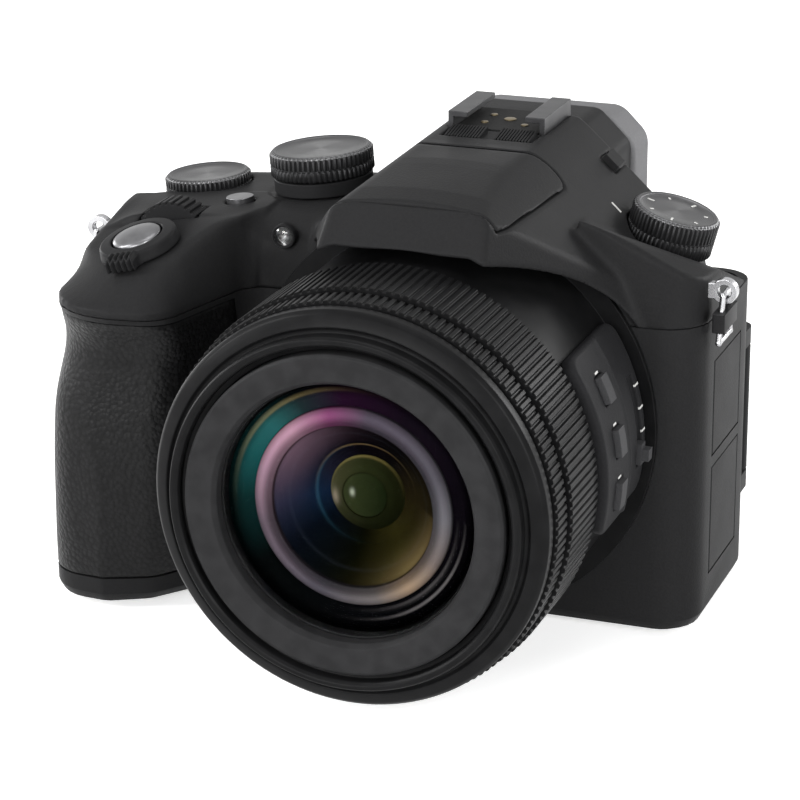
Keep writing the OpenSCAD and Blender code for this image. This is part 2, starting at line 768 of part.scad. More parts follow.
module focus_ring() {
    color(c_dark) translate([0, focus_y0, lens_z]) rotate([-90, 0, 0]) difference() {
        ribbed(focus_ring_r, focus_ring_len, 150, 0.5);
        translate([0, 0, -1]) cylinder(r = sleeve_r + gap, h = far, $fn = 96);
    }
}

module guide_rods() {
    color(c_metal) for (s = [-1, 1])
        translate([s * rod_orbit, 0, lens_z]) rod_y(rod_r, shelf_y + 4.2, mount_y);
}

module iris_unit() {
    color(c_dark) difference() {
        turned([[9, motor_y0 + 3], [23.8, motor_y0 + 3], [23.8, mount_y], [20, mount_y],
            [20, motor_y0 + 6], [9, motor_y0 + 6]]);
        for (a = [0:40:320])
            translate([0, 0, lens_z]) rotate([0, a, 0])
                translate([17, 0, 0]) rod_y(1, -far, motor_y0 + 4);
    }
}

module zoom_motor() {
    color(c_metal) translate([0, 0, lens_z + screw_orbit]) difference() {
        rod_y(motor_r, motor_y0, mount_y - 2);
        rod_y(lead_r + gap, -far, far);
    }
}

module zoom_screw() {
    color(c_metal) translate([0, 0, lens_z + screw_orbit]) rod_y(lead_r, shelf_y + 6, mount_y);
}

module zoom_carriage() {
    color(c_dark) difference() {
        union() {
            tube(carriage_r, variator_r + 0.1, carriage_y, carriage_y + carriage_len);
            translate([0, 0, lens_z]) for (p = [[rod_orbit, 0], [-rod_orbit, 0], [0, screw_orbit]])
                translate([p.x, 0, p.y]) rod_y(3.2, carriage_y, carriage_y + carriage_len);
            translate([0, 0, lens_z]) {
                block([carriage_r - 1, carriage_y, -2], [rod_orbit, carriage_y + 4, 2]);
                block([-rod_orbit, carriage_y, -2], [-carriage_r + 1, carriage_y + 4, 2]);
                block([-2, carriage_y, screw_orbit], [2, carriage_y + 4, -carriage_r + 1]);
            }
        }
        translate([0, 0, lens_z]) for (s = [-1, 1])
            translate([s * rod_orbit, 0, 0]) rod_y(rod_r + play, -far, far);
        translate([0, 0, lens_z + screw_orbit]) rod_y(lead_r + play, -far, far);
    }
}

module variator_lens() {
    color(c_glass) difference() {
        tube(variator_r, 0, carriage_y + 1, carriage_y + carriage_len - 1);
        translate([0, carriage_y - 36, lens_z]) sphere(39, $fn = 96);
    }
}

module nd_wheel() {
    color(c_dark) translate([wheel_x, 0, lens_z]) difference() {
        rod_y(wheel_r, wheel_y, wheel_y + 1.2);
        rod_y(2 + play, -far, far);
        for (a = [0:72:288])
            rotate([0, a, 0]) translate([-wheel_x, 0, 0]) rod_y(7, -far, far);
    }
}

module chassis() {
    color(c_metal) difference() {
        union() {
            block([chassis_x0, chassis_y, chassis_z0], [chassis_x1, chassis_y + chassis_t, chassis_z1]);
            block([-30, chassis_y, base_t], [-20, chassis_y + chassis_t, chassis_z0 + 1]);
            block([25, chassis_y, base_t], [35, chassis_y + chassis_t, chassis_z0 + 1]);
            translate([wheel_x, 0, lens_z]) rod_y(2, wheel_y - 1.5, chassis_y + 1);
            for (x = [chassis_x0 + 6, chassis_x1 - 8])
                for (z = [chassis_z0 + 4, chassis_z1 - 6])
                    translate([x, 0, z]) rod_y(2.4, chassis_y, board_y);
        }
        block([-13, -far, lens_z - 9], [13, far, lens_z + 9]);
    }
}

module image_sensor() {
    color(c_dark) {
        block([-15.4, chassis_y - 2, lens_z - 11], [16, chassis_y, lens_z + 11]);
        block([-9, chassis_y - 4, lens_z - 7], [9, chassis_y - 1, lens_z + 7]);
    }
}

module main_board() {
    color(c_board) {
        block([chassis_x0 + 1, board_y, chassis_z0 + 1], [chassis_x1 - 1, board_y + board_t, chassis_z1 - 2]);
        block([-20, board_y + 1, 30], [-4, board_y + 3, 46]);
        block([6, board_y + 1, 18], [18, board_y + 2.8, 30]);
    }
}

module battery() {
    color(c_dark) block([bay_x0 + 2, bay_y0 + 1, base_t + 0.2],
        [bay_x1 - 1.4, bay_y1 - 1, base_t + battery_h]);
}

module battery_door() {
    color(c_shell) {
        block([bay_x0, bay_y0, hatch_z], [bay_x1 - hatch_t / 2, bay_y1, hatch_z + hatch_t]);
        translate([bay_x1 - hatch_t / 2, 0, hatch_z + hatch_t / 2]) {
            rod_y(hatch_t / 2, bay_y0, bay_y1);
            rod_y(trunnion_r, bay_y0 - gap - 0.8, bay_y1 + gap + 0.8);
        }
    }
}

module hot_shoe() {
    out = shoe_half;
    in = shoe_gap / 2;
    side = shoe_width / 2;
    top = lip_z0 + lip_t;
    floor_z = shoe_floor + shoe_sheet;
    color(c_metal) along_y(shoe_y0, shoe_y0 + shoe_len)
        polygon([[-out, shoe_floor], [out, shoe_floor], [out, top], [in, top], [in, lip_z0],
            [side, lip_z0], [side, floor_z], [-side, floor_z], [-side, lip_z0], [-in, lip_z0],
            [-in, top], [-out, top]]);
}

module shoe_contacts() {
    color(c_dark) {
        block([-shoe_width / 2 + 0.3, shoe_y0 + 0.5, shoe_floor + shoe_sheet],
            [shoe_width / 2 - 0.3, shoe_y0 + shoe_len - 0.5, shoe_floor + shoe_sheet + shoe_pad]);
        for (p = [[0, 9.4, 1.3], [-4.4, 5.6, 0.8], [4.4, 5.6, 0.8], [-4.4, 12, 0.8]])
            translate([p.x, shoe_y0 + p.y, shoe_floor + shoe_sheet + 0.2])
                cylinder(r = p.z, h = shoe_pad);
    }
}

module eyecup() {
    color(c_rubber) difference() {
        along_y(cup_y0, cup_y1) polygon(rounded([[cup_half, cup_z0, 4], [cup_half, cup_z1 - 6, 5],
            [cup_half - 6, cup_z1, 5], [-cup_half + 6, cup_z1, 5], [-cup_half, cup_z1 - 6, 5],
            [-cup_half, cup_z0, 4]]));
        along_y(cup_y0 - 1, cup_y1) polygon(eye_outline());
        along_y(cup_y0 + 3.5, cup_y1 + 1) polygon(box2(-15.5, 15.5, eye_z - 9.5, eye_z + 9.5, 4));
    }
}

module eyepiece_lens() {
    color(c_glass) along_y(tail_y - 3.5, tail_y - 0.6)
        polygon(eye_outline());
}

module af_lamp() {
    color(c_glass) translate(lamp_pos) rod_y(lamp_r, -0.4, lamp_depth);
}

module tripod_socket() {
    color(c_metal) difference() {
        cylinder(r = socket_r, h = tripod_depth + 1.2);
        translate([0, 0, -1]) cylinder(r = tripod_r, h = tripod_depth + 1);
    }
}

module lug_eye(x) {
    translate([x, 0, lug_z]) rod_y(2.6, lug_y - 1, lug_y + 1);
}

module strap_lugs() {
    color(c_metal) {
        difference() {
            union() {
                lug_tongue();
                lug_eye(body_right + lug_out + 0.8);
            }
            translate([body_right + lug_out + 0.8, 0, lug_z]) rod_y(lug_hole, -far, far);
        }
        difference() {
            union() {
                lug_tongue_left();
                lug_eye(-body_left - lug_out - 0.8);
            }
            translate([-body_left - lug_out - 0.8, 0, lug_z]) rod_y(lug_hole, -far, far);
        }
    }
}

module wire(a, b) {
    d = b - a;
    translate(a) rotate([0, acos(d.z / norm(d)), atan2(d.y, d.x)])
        cylinder(r = wire_r, h = norm(d), $fn = 24);
    translate(b) sphere(wire_r * 1.15, $fn = 24);
}

// Three-sided wire ring hung through the eye of a lug
module strap_ring(x) {
    top_z = lug_z - lug_hole + wire_r + 0.2;
    pts = [[x, lug_y - 1.9, top_z], [x, lug_y - 4.4, top_z - 9], [x, lug_y + 4.4, top_z - 9],
        [x, lug_y + 1.9, top_z]];
    color(c_metal) for (i = [0:3])
        wire(pts[i], pts[(i + 1) % 4]);
}

module strap_ring_right() {
    strap_ring(body_right + lug_out + 0.8);
}

module strap_ring_left() {
    strap_ring(-body_left - lug_out - 0.8);
}

module hinge_pins() {
    color(c_metal) {
        translate([hinge_x, hinge_y, hinge_z0 - gap - ear_h])
            cylinder(r = pin_r, h = hinge_z1 - hinge_z0 + 2 * (gap + ear_h));
        translate([0, lid_pin_y, lid_pin_z]) rod_x(pin_r, -10.5, 10.5);
    }
}

module case_screws() {
    color(c_metal) for (p = screw_places)
        translate([p.x, p.y, 0]) {
            difference() {
                translate([0, 0, 0.5]) cylinder(r = screw_r, h = 1.1);
                block([-1.3, -0.25, 0], [1.3, 0.25, 1]);
            }
            translate([0, 0, 1.2]) cylinder(r = 1, h = 6);
        }
}

module power_lever() {
    color(c_dark) on_deck(mode_pos) difference() {
        union() {
            translate([0, 0, gap]) cylinder(r = mode_r - 0.5, h = collar_h - gap);
            block([-2, mode_r - 2, gap], [2, mode_r + 3.5, collar_h]);
        }
        cylinder(r = dial_shaft_r + play, h = far, center = true);
    }
}

module mode_dial() {
    color(c_metal) on_deck(mode_pos) {
        translate([0, 0, collar_h + gap]) {
            ribbed(mode_r, mode_h, 60, 0.45);
            cylinder(r = mode_r - 0.9, h = mode_h + 0.4, $fn = 72);
        }
        translate([0, 0, -8]) cylinder(r = dial_shaft_r, h = collar_h + gap + 9);
    }
}

module rear_dial() {
    color(c_metal) on_deck(rear_dial_pos) {
        translate([0, 0, -2]) {
            ribbed(rear_dial_r, 4, 56, 0.4);
            cylinder(r = rear_dial_r - 0.8, h = 4.4, $fn = 72);
        }
        translate([0, 0, -6.5]) cylinder(r = dial_shaft_r, h = 5);
    }
}

module drive_dial() {
    color(c_metal) on_shoulder() {
        translate([0, 0, -2.4]) {
            ribbed(drive_r, 7.6, 56, 0.4);
            cylinder(r = drive_r - 0.8, h = 8, $fn = 72);
        }
        translate([0, 0, -6.5]) cylinder(r = dial_shaft_r, h = 5);
    }
}

module front_dial() {
    color(c_dark) translate(front_dial_pos) {
        translate([0, 3, 0]) rotate([90, 0, 0]) ribbed(front_dial_r, 6, 32, 0.6);
        rod_y(1.2, -5, 5);
    }
}

module shutter_button() {
    color(c_metal) on_grip() {
        intersection() {
            translate([0, 0, 2]) cylinder(r = shutter_r, h = 3);
            translate([0, 0, 4.2 - 22]) sphere(22, $fn = 96);
        }
        translate([0, 0, -5]) cylinder(r = 2, h = 8);
    }
}

module zoom_lever() {
    color(c_dark) on_grip() difference() {
        union() {
            translate([0, 0, gap]) cylinder(r = lever_r, h = lever_t);
            translate([0, -lever_r + 1, gap]) block([-4, -3.4, 0], [4, 1, 3.6]);
        }
        translate([0, 0, -1]) cylinder(r = shutter_r + gap, h = 9);
        for (x = [-2.4, -0.8, 0.8, 2.4])
            block([x - 0.35, -far, 3.2], [x + 0.35, -lever_r + 0.4, 9]);
    }
}

module round_button(r) {
    h = button_t - button_travel - 0.4;
    translate([0, 0, button_proud - h]) cylinder(r = r, h = h);
}

module movie_button() {
    color(c_metal) on_deck(movie_pos) round_button(small_r);
}

module rear_button(p, r) {
    color(c_dark) translate(p) rotate([-90, 0, 0]) round_button(r);
}

module play_button() {
    rear_button(play_pos, small_r);
}

module lock_button() {
    rear_button(lock_pos, small_r);
}

module set_button() {
    rear_button(ring_pos, set_r);
}

module control_ring() {
    color(c_dark) translate(ring_pos + [0, gap - button_t, 0]) rotate([-90, 0, 0]) difference() {
        ribbed(ring_r, button_t + 0.8, 48, 0.4);
        translate([0, 0, -1]) cylinder(r = set_r + gap, h = far);
    }
}

// Room that the lid leaves behind and under its pin for the hinge block, over its whole travel
function knuckle_room() = [[lid_pin_y - 2 - gap, 0], [lid_pin_y - 2 - gap, lid_pin_z],
    [lid_pin_y, lid_pin_z], [lid_pin_y + 4, lid_pin_z + 6], [lid_pin_y + 9, lid_pin_z + 6],
    [lid_pin_y + 9, 0]];

module flash_lid() {
    color(c_shell) difference() {
        intersection() {
            hump();
            along_x(-far, far) polygon(lid_profile(0));
        }
        translate([0, lid_pin_y, lid_pin_z]) rod_x(pin_r + play, -far, far);
        translate([0, lid_pin_y, lid_pin_z]) rod_x(knuckle_r + gap, -4 - gap, 4 + gap);
        along_x(-4 - gap, 4 + gap) polygon(knuckle_room());
        flash_glass();
    }
}

module flash_glass() {
    block([-9, lid_y0, lid_under_z + 0.5], [9, lid_y0 + 1.4, lid_under_z + 2.3]);
}

module flash_window() {
    color(c_glass) flash_glass();
}

module flash_lever() {
    color(c_dark) on_slope()
        block([gap, gap - flash_key_room, gap - flash_key_half], [2.9, 1.4, flash_key_half - gap]);
}

module diopter_dial() {
    color(c_dark) translate(diopter_pos) translate([diopter_in - gap, 0, 0])
        rotate([0, -90, 0]) ribbed(diopter_r, 3, 28, 0.3);
}

// Outline of the screen, inside the monitor's rim
function screen_outline() = box2(monitor_x1 - monitor_w + screen_rim, monitor_x1 - screen_rim,
    monitor_z0 + screen_rim, monitor_z0 + monitor_h - screen_rim, 2);

module monitor_frame() {
    x0 = monitor_x1 - monitor_w;
    z1 = monitor_z0 + monitor_h;
    color(c_shell) difference() {
        along_y(monitor_y0, monitor_y0 + monitor_t) polygon(box2(x0, monitor_x1, monitor_z0, z1, 3));
        along_y(monitor_y0 + monitor_t - screen_t, far) polygon(screen_outline());
    }
}

module monitor_screen() {
    color(c_glass) along_y(monitor_y0 + monitor_t - screen_t, monitor_y0 + monitor_t - 0.2)
        polygon(screen_outline());
}

module monitor_hinge() {
    color(c_metal) difference() {
        union() {
            translate([hinge_x, hinge_y, hinge_z0]) cylinder(r = hinge_r, h = hinge_z1 - hinge_z0);
            block([monitor_x1, hinge_y - 1.8, hinge_z0], [hinge_x, hinge_y + 1.8, hinge_z1]);
        }
        translate([hinge_x, hinge_y, 0]) cylinder(r = pin_r + play, h = far);
    }
}

module port_door(z0, z1) {
    axis = [door_in + door_t / 2, door_y0 + door_t / 2, 0];
    color(c_shell) {
        block([door_in, axis.y, z0], [door_in + door_t, door_y1, z1]);
        translate([axis.x, axis.y, z0]) cylinder(r = door_t / 2, h = z1 - z0);
        translate([axis.x, axis.y, z0 - gap - 0.8])
            cylinder(r = trunnion_r, h = z1 - z0 + 2 * gap + 1.6);
    }
}

module port_door_upper() {
    port_door(upper_z0, upper_z1);
}

module port_door_lower() {
    port_door(lower_z0, lower_z1);
}

front_cover();
top_cover();
rear_cover();
base_cover();
grip_rubber();
lens_barrel();
front_bezel();
name_ring();
front_element();
lens_panel();
guide_rods();
iris_unit();
zoom_motor();
image_sensor();
chassis();
main_board();
battery();
hot_shoe();
shoe_contacts();
eyecup();
eyepiece_lens();
af_lamp();
tripod_socket();
strap_lugs();
hinge_pins();
case_screws();
zoom_ring();
focus_ring();
mode_dial();
power_lever();
rear_dial();
drive_dial();
front_dial();
shutter_button();
zoom_lever();
movie_button();
flash_lid();
flash_window();
flash_lever();
monitor_frame();
monitor_screen();
monitor_hinge();
diopter_dial();
port_door_upper();
port_door_lower();
battery_door();
strap_ring_left();
strap_ring_right();
fn_button_1();
fn_button_2();
fn_button_3();
nd_switch();
control_ring();
set_button();
play_button();
lock_button();
zoom_carriage();
variator_lens();
zoom_screw();
nd_wheel();
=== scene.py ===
import json
import math
import bpy
import numpy as np
from mathutils import Matrix, Vector


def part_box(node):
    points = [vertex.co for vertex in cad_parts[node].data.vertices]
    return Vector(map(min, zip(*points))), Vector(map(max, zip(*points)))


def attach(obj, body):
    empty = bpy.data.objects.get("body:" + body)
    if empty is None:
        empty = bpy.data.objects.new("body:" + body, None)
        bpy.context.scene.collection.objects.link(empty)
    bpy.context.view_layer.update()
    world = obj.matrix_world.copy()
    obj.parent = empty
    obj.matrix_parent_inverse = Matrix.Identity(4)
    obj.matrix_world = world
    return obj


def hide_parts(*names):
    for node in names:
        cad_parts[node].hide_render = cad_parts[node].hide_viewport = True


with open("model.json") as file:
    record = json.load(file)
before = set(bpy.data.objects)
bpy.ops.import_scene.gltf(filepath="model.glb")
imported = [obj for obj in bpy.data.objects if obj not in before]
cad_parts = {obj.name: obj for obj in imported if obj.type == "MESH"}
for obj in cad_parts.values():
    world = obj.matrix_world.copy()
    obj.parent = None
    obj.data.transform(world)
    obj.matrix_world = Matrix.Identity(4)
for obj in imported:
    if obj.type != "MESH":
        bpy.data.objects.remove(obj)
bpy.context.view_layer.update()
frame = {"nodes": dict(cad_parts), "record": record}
NODES = frame["nodes"]
BODY = "camera_body"
scene = bpy.context.scene

# All sizes below are millimetres in the frame of the model: +Z up, the lens looks along -Y.
MM = 0.001
LENS_Z = 44.0
SEAM_Z = 66.0
CAP_Z = 6.5
FRONT_Y = -20.0
BACK_Y = 25.0
GRIP_REACH = 50.5
RIGHT_X = 51.5
HUMP_Z = 96.5
DECK_TILT = 5
SHOULDER_TILT = 15
MODE = (-36.5, 2.0, 82.0)


def deck(x):
    """Height of the sloping left deck."""
    return MODE[2] + (x - MODE[0]) * math.tan(math.radians(DECK_TILT))


REAR_DIAL = (-65.5, 7.0, deck(-65.5))
MOVIE = (-51.0, -9.5, deck(-51.0))
FRONT_DIAL = (-62.0, -17.5, deck(-62.0) - 5.2)
DRIVE = (37.5, 8.0, 77.6)
SHUTTER = (-63.4, -32.5, 75.8)
LAMP = (-37.0, FRONT_Y, 77.5)
LID_PIN = (-9.5, 93.3)
LID_ARC = 3.4
KEY_SLOPE = math.atan2(18.2, 17)
KEY = (20.27, 20.5, 87.33)
DECK_AXES = Matrix.Rotation(math.radians(-DECK_TILT), 4, "Y")
SHOULDER_AXES = Matrix.Rotation(math.radians(SHOULDER_TILT), 4, "Y")
GRIP_AXES = Matrix.Rotation(math.radians(-13), 4, "Y") @ Matrix.Rotation(math.radians(13), 4, "X")


def axis_of(axes):
    return tuple(axes.to_3x3() @ Vector((0, 0, 1)))


# Materials

def shader(name, **sockets):
    """A new material and its main shader, with the given sockets set."""
    mat = bpy.data.materials.new(name)
    mat.use_nodes = True
    main = mat.node_tree.nodes["Principled BSDF"]
    for key, value in sockets.items():
        socket = main.inputs[key.replace("_", " ")]
        socket.default_value = (*value, 1) if isinstance(value, tuple) else value
    return mat, mat.node_tree, main


def coords(tree):
    return tree.nodes.new("ShaderNodeTexCoord").outputs["Object"]


def noise(tree, size, detail=2.0):
    """Noise with features of about that size in millimetres."""
    n = tree.nodes.new("ShaderNodeTexNoise")
    n.inputs["Scale"].default_value = 1 / (size * MM)
    n.inputs["Detail"].default_value = detail
    tree.links.new(coords(tree), n.inputs["Vector"])
    return n.outputs["Fac"]


def pebbles(tree, size):
    n = tree.nodes.new("ShaderNodeTexVoronoi")
    n.inputs["Scale"].default_value = 1 / (size * MM)
    tree.links.new(coords(tree), n.inputs["Vector"])
    return n.outputs["Distance"]


def ramp(tree, fac, *stops):
    n = tree.nodes.new("ShaderNodeValToRGB")
    e = n.color_ramp.elements
    while len(e) < len(stops):
        e.new(0.5)
    for item, (at, colour) in zip(e, stops):
        item.position = at
        item.color = (*colour, 1)
    tree.links.new(fac, n.inputs["Fac"])
    return n.outputs["Color"]


def shades(colour, *factors):
    """Darker and lighter versions of a colour."""
    return [tuple(c * k for c in colour) for k in factors]


def spread(tree, fac, low, high):
    n = tree.nodes.new("ShaderNodeMapRange")
    n.inputs["To Min"].default_value = low
    n.inputs["To Max"].default_value = high
    tree.links.new(fac, n.inputs["Value"])
    return n.outputs["Result"]


def bump(tree, main, height, depth):
    """Add a bump of that depth in millimetres on top of any bump already there."""
    n = tree.nodes.new("ShaderNodeBump")
    n.inputs["Strength"].default_value = 1.0
    n.inputs["Distance"].default_value = depth * MM
    tree.links.new(height, n.inputs["Height"])
    if main.inputs["Normal"].is_linked:
        tree.links.new(main.inputs["Normal"].links[0].from_socket, n.inputs["Normal"])
    tree.links.new(n.outputs["Normal"], main.inputs["Normal"])


# How much the black surfaces mirror of the white surroundings
PLASTIC_SHINE = 0.028
RUBBER_SHINE = 0.13
PAINT_SHINE = 0.045


def moulding(name, colour, rough, grain=0.5, depth=0.045):
    """Moulded plastic with a spark-eroded grain and slightly uneven gloss."""
    mat, tree, main = shader(name, Specular_IOR_Level=PLASTIC_SHINE)
    lo, hi = shades(colour, 0.9, 1.1)
    tree.links.new(ramp(tree, noise(tree, grain, 3), (0.3, lo), (0.7, hi)), main.inputs["Base Color"])
    tree.links.new(spread(tree, noise(tree, 9, 3), rough - 0.06, rough + 0.06), main.inputs["Roughness"])
    bump(tree, main, noise(tree, grain, 3), depth)
    return mat


def leather_rubber(name, colour, rough, cell, depth):
    """Rubber with a pebbled leather grain, painted lighter on the pebbles' tops and darker in the crevices
    between them as shade.
    """
    mat, tree, main = shader(name, Specular_IOR_Level=RUBBER_SHINE)
    cells = pebbles(tree, cell)
    # Painted shade: the colour follows the pebbles' bump, lighter on their tops, darker in the crevices
    lo, hi = shades(colour, 1.25, 0.6)
    tree.links.new(ramp(tree, cells, (0.15, lo), (0.75, hi)), main.inputs["Base Color"])
    tree.links.new(spread(tree, noise(tree, 6, 3), rough - 0.05, rough + 0.07), main.inputs["Roughness"])
    flip = spread(tree, cells, 1.0, 0.0)
    bump(tree, main, flip, depth)
    bump(tree, main, noise(tree, cell * 0.4, 2), depth * 0.25)
    return mat


def painted(name, colour, rough, metal=0.0):
    """Paint or anodising on metal: smooth, with a faint orange peel and uneven gloss."""
    mat, tree, main = shader(name, Metallic=metal, Specular_IOR_Level=PAINT_SHINE)
    lo, hi = shades(colour, 0.85, 1.15)
    tree.links.new(ramp(tree, noise(tree, 4, 3), (0.35, lo), (0.65, hi)), main.inputs["Base Color"])
    tree.links.new(spread(tree, noise(tree, 5, 4), rough - 0.05, rough + 0.05), main.inputs["Roughness"])
    bump(tree, main, noise(tree, 0.3, 2), 0.006)
    return mat


def spun(name, colour, rough):
    """Metal turned on a lathe: fine rings about the piece's own axis."""
    mat, tree, main = shader(name, Metallic=1.0, Anisotropic=0.85)
    tangent = tree.nodes.new("ShaderNodeTangent")
    tangent.direction_type = "RADIAL"
    tangent.axis = "Z"
    tree.links.new(tangent.outputs["Tangent"], main.inputs["Tangent"])
    rings = tree.nodes.new("ShaderNodeTexWave")
    rings.wave_type = "RINGS"
    rings.rings_direction = "Z"
    rings.inputs["Scale"].default_value = 900
    rings.inputs["Distortion"].default_value = 0.6
    tree.links.new(coords(tree), rings.inputs["Vector"])
    lo, hi = shades(colour, 0.7, 1.25)
    tree.links.new(ramp(tree, rings.outputs["Fac"], (0.2, lo), (0.8, hi)), main.inputs["Base Color"])
    uneven = spread(tree, noise(tree, 1.5, 3), rough - 0.02, rough + 0.03)
    tree.links.new(uneven, main.inputs["Roughness"])
    bump(tree, main, rings.outputs["Fac"], 0.012)
    return mat


def clear(name, colour, rough, ior):
    mat, tree, main = shader(name, Base_Color=colour, IOR=ior, Transmission_Weight=1.0)
    tree.links.new(spread(tree, noise(tree, 8, 2), rough, rough + 0.02), main.inputs["Roughness"])
    return mat


def glossy(name, colour, rough):
    mat, tree, main = shader(name, Specular_IOR_Level=0.5)
    lo, hi = shades(colour, 0.8, 1.2)
    tree.links.new(ramp(tree, noise(tree, 6, 2), (0.35, lo), (0.65, hi)), main.inputs["Base Color"])
    tree.links.new(spread(tree, noise(tree, 3, 3), rough, rough + 0.08), main.inputs["Roughness"])
    return mat


def painted_reflection_glow(name):
    """Inner faces of the lens with painted reflections and glints of its coatings, set per point in two
    colour attributes: the full colours glow as emission, a dim share is the base colour.
    """
    mat, tree, main = shader(name, Specular_IOR_Level=0.0, Emission_Strength=0.85)
    for layer, socket in (("painted_reflection", "Emission Color"), ("painted_reflection_dim", "Base Color")):
        paint = tree.nodes.new("ShaderNodeVertexColor")
        paint.layer_name = layer
        tree.links.new(paint.outputs["Color"], main.inputs[socket])
    tree.links.new(spread(tree, noise(tree, 2, 2), 0.3, 0.4), main.inputs["Roughness"])
    return mat


SLOTS = {
    "body_plastic": moulding("body_plastic", (0.0165, 0.0165, 0.017), 0.42),
    "grip_rubber": leather_rubber("grip_rubber", (0.0075, 0.0075, 0.0078), 0.42, cell=0.95, depth=0.16),
    "eyecup_rubber": moulding("eyecup_rubber", (0.17, 0.17, 0.175), 0.6, 0.3, 0.02),
    "lens_metal": painted("lens_metal", (0.007, 0.007, 0.0073), 0.34),
    "side_panel": moulding("side_panel", (0.016, 0.016, 0.017), 0.5),
    "button_grey": moulding("button_grey", (0.045, 0.045, 0.047), 0.42, 0.3, 0.01),
    "control_black": moulding("control_black", (0.016, 0.016, 0.0166), 0.38, 0.3, 0.012),
    "dial_metal": painted("dial_metal", (0.028, 0.028, 0.029), 0.34, 0.5),
    "shutter_metal": painted("shutter_metal", (0.15, 0.15, 0.155), 0.32, 0.9),
    "bare_steel": painted("bare_steel", (0.4, 0.4, 0.41), 0.25, 1.0),
    "shoe_metal": painted("shoe_metal", (0.05, 0.05, 0.052), 0.38, 0.7),
    "contact_gold": painted("contact_gold", (0.16, 0.13, 0.08), 0.42, 1.0),
    "lens_glass": glossy("lens_glass", (0.02, 0.03, 0.03), 0.05),
    "screen_glass": glossy("screen_glass", (0.010, 0.011, 0.013), 0.06),
    "flash_clear": glossy("flash_clear", (0.5, 0.51, 0.53), 0.15),
    "lamp_clear": glossy("lamp_clear", (0.09, 0.085, 0.085), 0.12),
    "inner_black": moulding("inner_black", (0.02, 0.02, 0.02), 0.6),
    "board_green": moulding("board_green", (0.02, 0.12, 0.05), 0.45),
}
SPUN = spun("spun_dial", (0.085, 0.085, 0.087), 0.3)
MARK = moulding("white_mark", (0.62, 0.62, 0.6), 0.5, 0.2, 0.004)
LAMP_GLASS = clear("lamp_glass", (0.95, 0.95, 0.95), 0.02, 1.4)
FRONT_GLASS = clear("front_glass", (0.98, 1.0, 0.99), 0.12, 1.02)
LENS_REFLECTION_GLOW = painted_reflection_glow("lens_painted_reflections")
NAME_GREY = painted("name_ring_grey", (0.018, 0.018, 0.0187), 0.45)


# Meshes

def piece(name, verts, faces, mats, body=BODY, nodes=(), axes=None, at=(0, 0, 0), index=None,
          sharp=40):
    """A new object from points in millimetres, riding on a body and standing for CAD nodes."""
    mesh = bpy.data.meshes.new(name)
    mesh.from_pydata((np.asarray(verts, float) * MM).tolist(), [], [list(map(int, f)) for f in faces])
    mesh.validate()
    for mat in mats:
        mesh.materials.append(mat)
    if index is not None:
        mesh.polygons.foreach_set("material_index", np.asarray(index, np.int32))
    mesh.polygons.foreach_set("use_smooth", np.ones(len(mesh.polygons), bool))
    if sharp:
        mesh.set_sharp_from_angle(angle=math.radians(sharp))
    obj = bpy.data.objects.new(name, mesh)
    obj.matrix_world = Matrix.Translation(Vector(at) * MM) @ (axes or Matrix())
    scene.collection.objects.link(obj)
    bpy.context.view_layer.update()
    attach(obj, body)
    if nodes:
        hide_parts(*nodes)
    return obj


def lathe(profile, count):
    """Closed ring from (radius, height) points turned about Z, or a closed solid where it meets the axis."""
    a = np.linspace(0, 2 * np.pi, count, endpoint=False)
    p = np.asarray(profile, float)
    verts = np.stack([np.outer(np.cos(a), p[:, 0]), np.outer(np.sin(a), p[:, 0]),
                      np.broadcast_to(p[:, 1], (count, len(p)))], 2).reshape(-1, 3)
    m = len(p)
    faces = [(i * m + j, (i + 1) % count * m + j, (i + 1) % count * m + (j + 1) % m, i * m + (j + 1) % m)
             for i in range(count) for j in range(m)]
    return verts, faces


# The lens axis as a local frame: local Z points out of the lens
LENS_AXES = Matrix.Rotation(math.radians(90), 4, "X")
LENS_AT = (0, 0, LENS_Z)


def soften(points, cut, steps=3):
    """Round the corners of a closed profile by cutting them back and adding an arc."""
    p = np.asarray(points, float)
    out = []
    for i, b in enumerate(p):
        a, c = p[i - 1], p[(i + 1) % len(p)]
        u, v = a - b, c - b
        t = min(cut, np.linalg.norm(u) * 0.45, np.linalg.norm(v) * 0.45)
        u, v = u / np.linalg.norm(u) * t, v / np.linalg.norm(v) * t
        for k in range(steps + 1):
            s = k / steps
            out.append(b + u * (1 - s) ** 2 + v * s ** 2)
    return np.array(out)


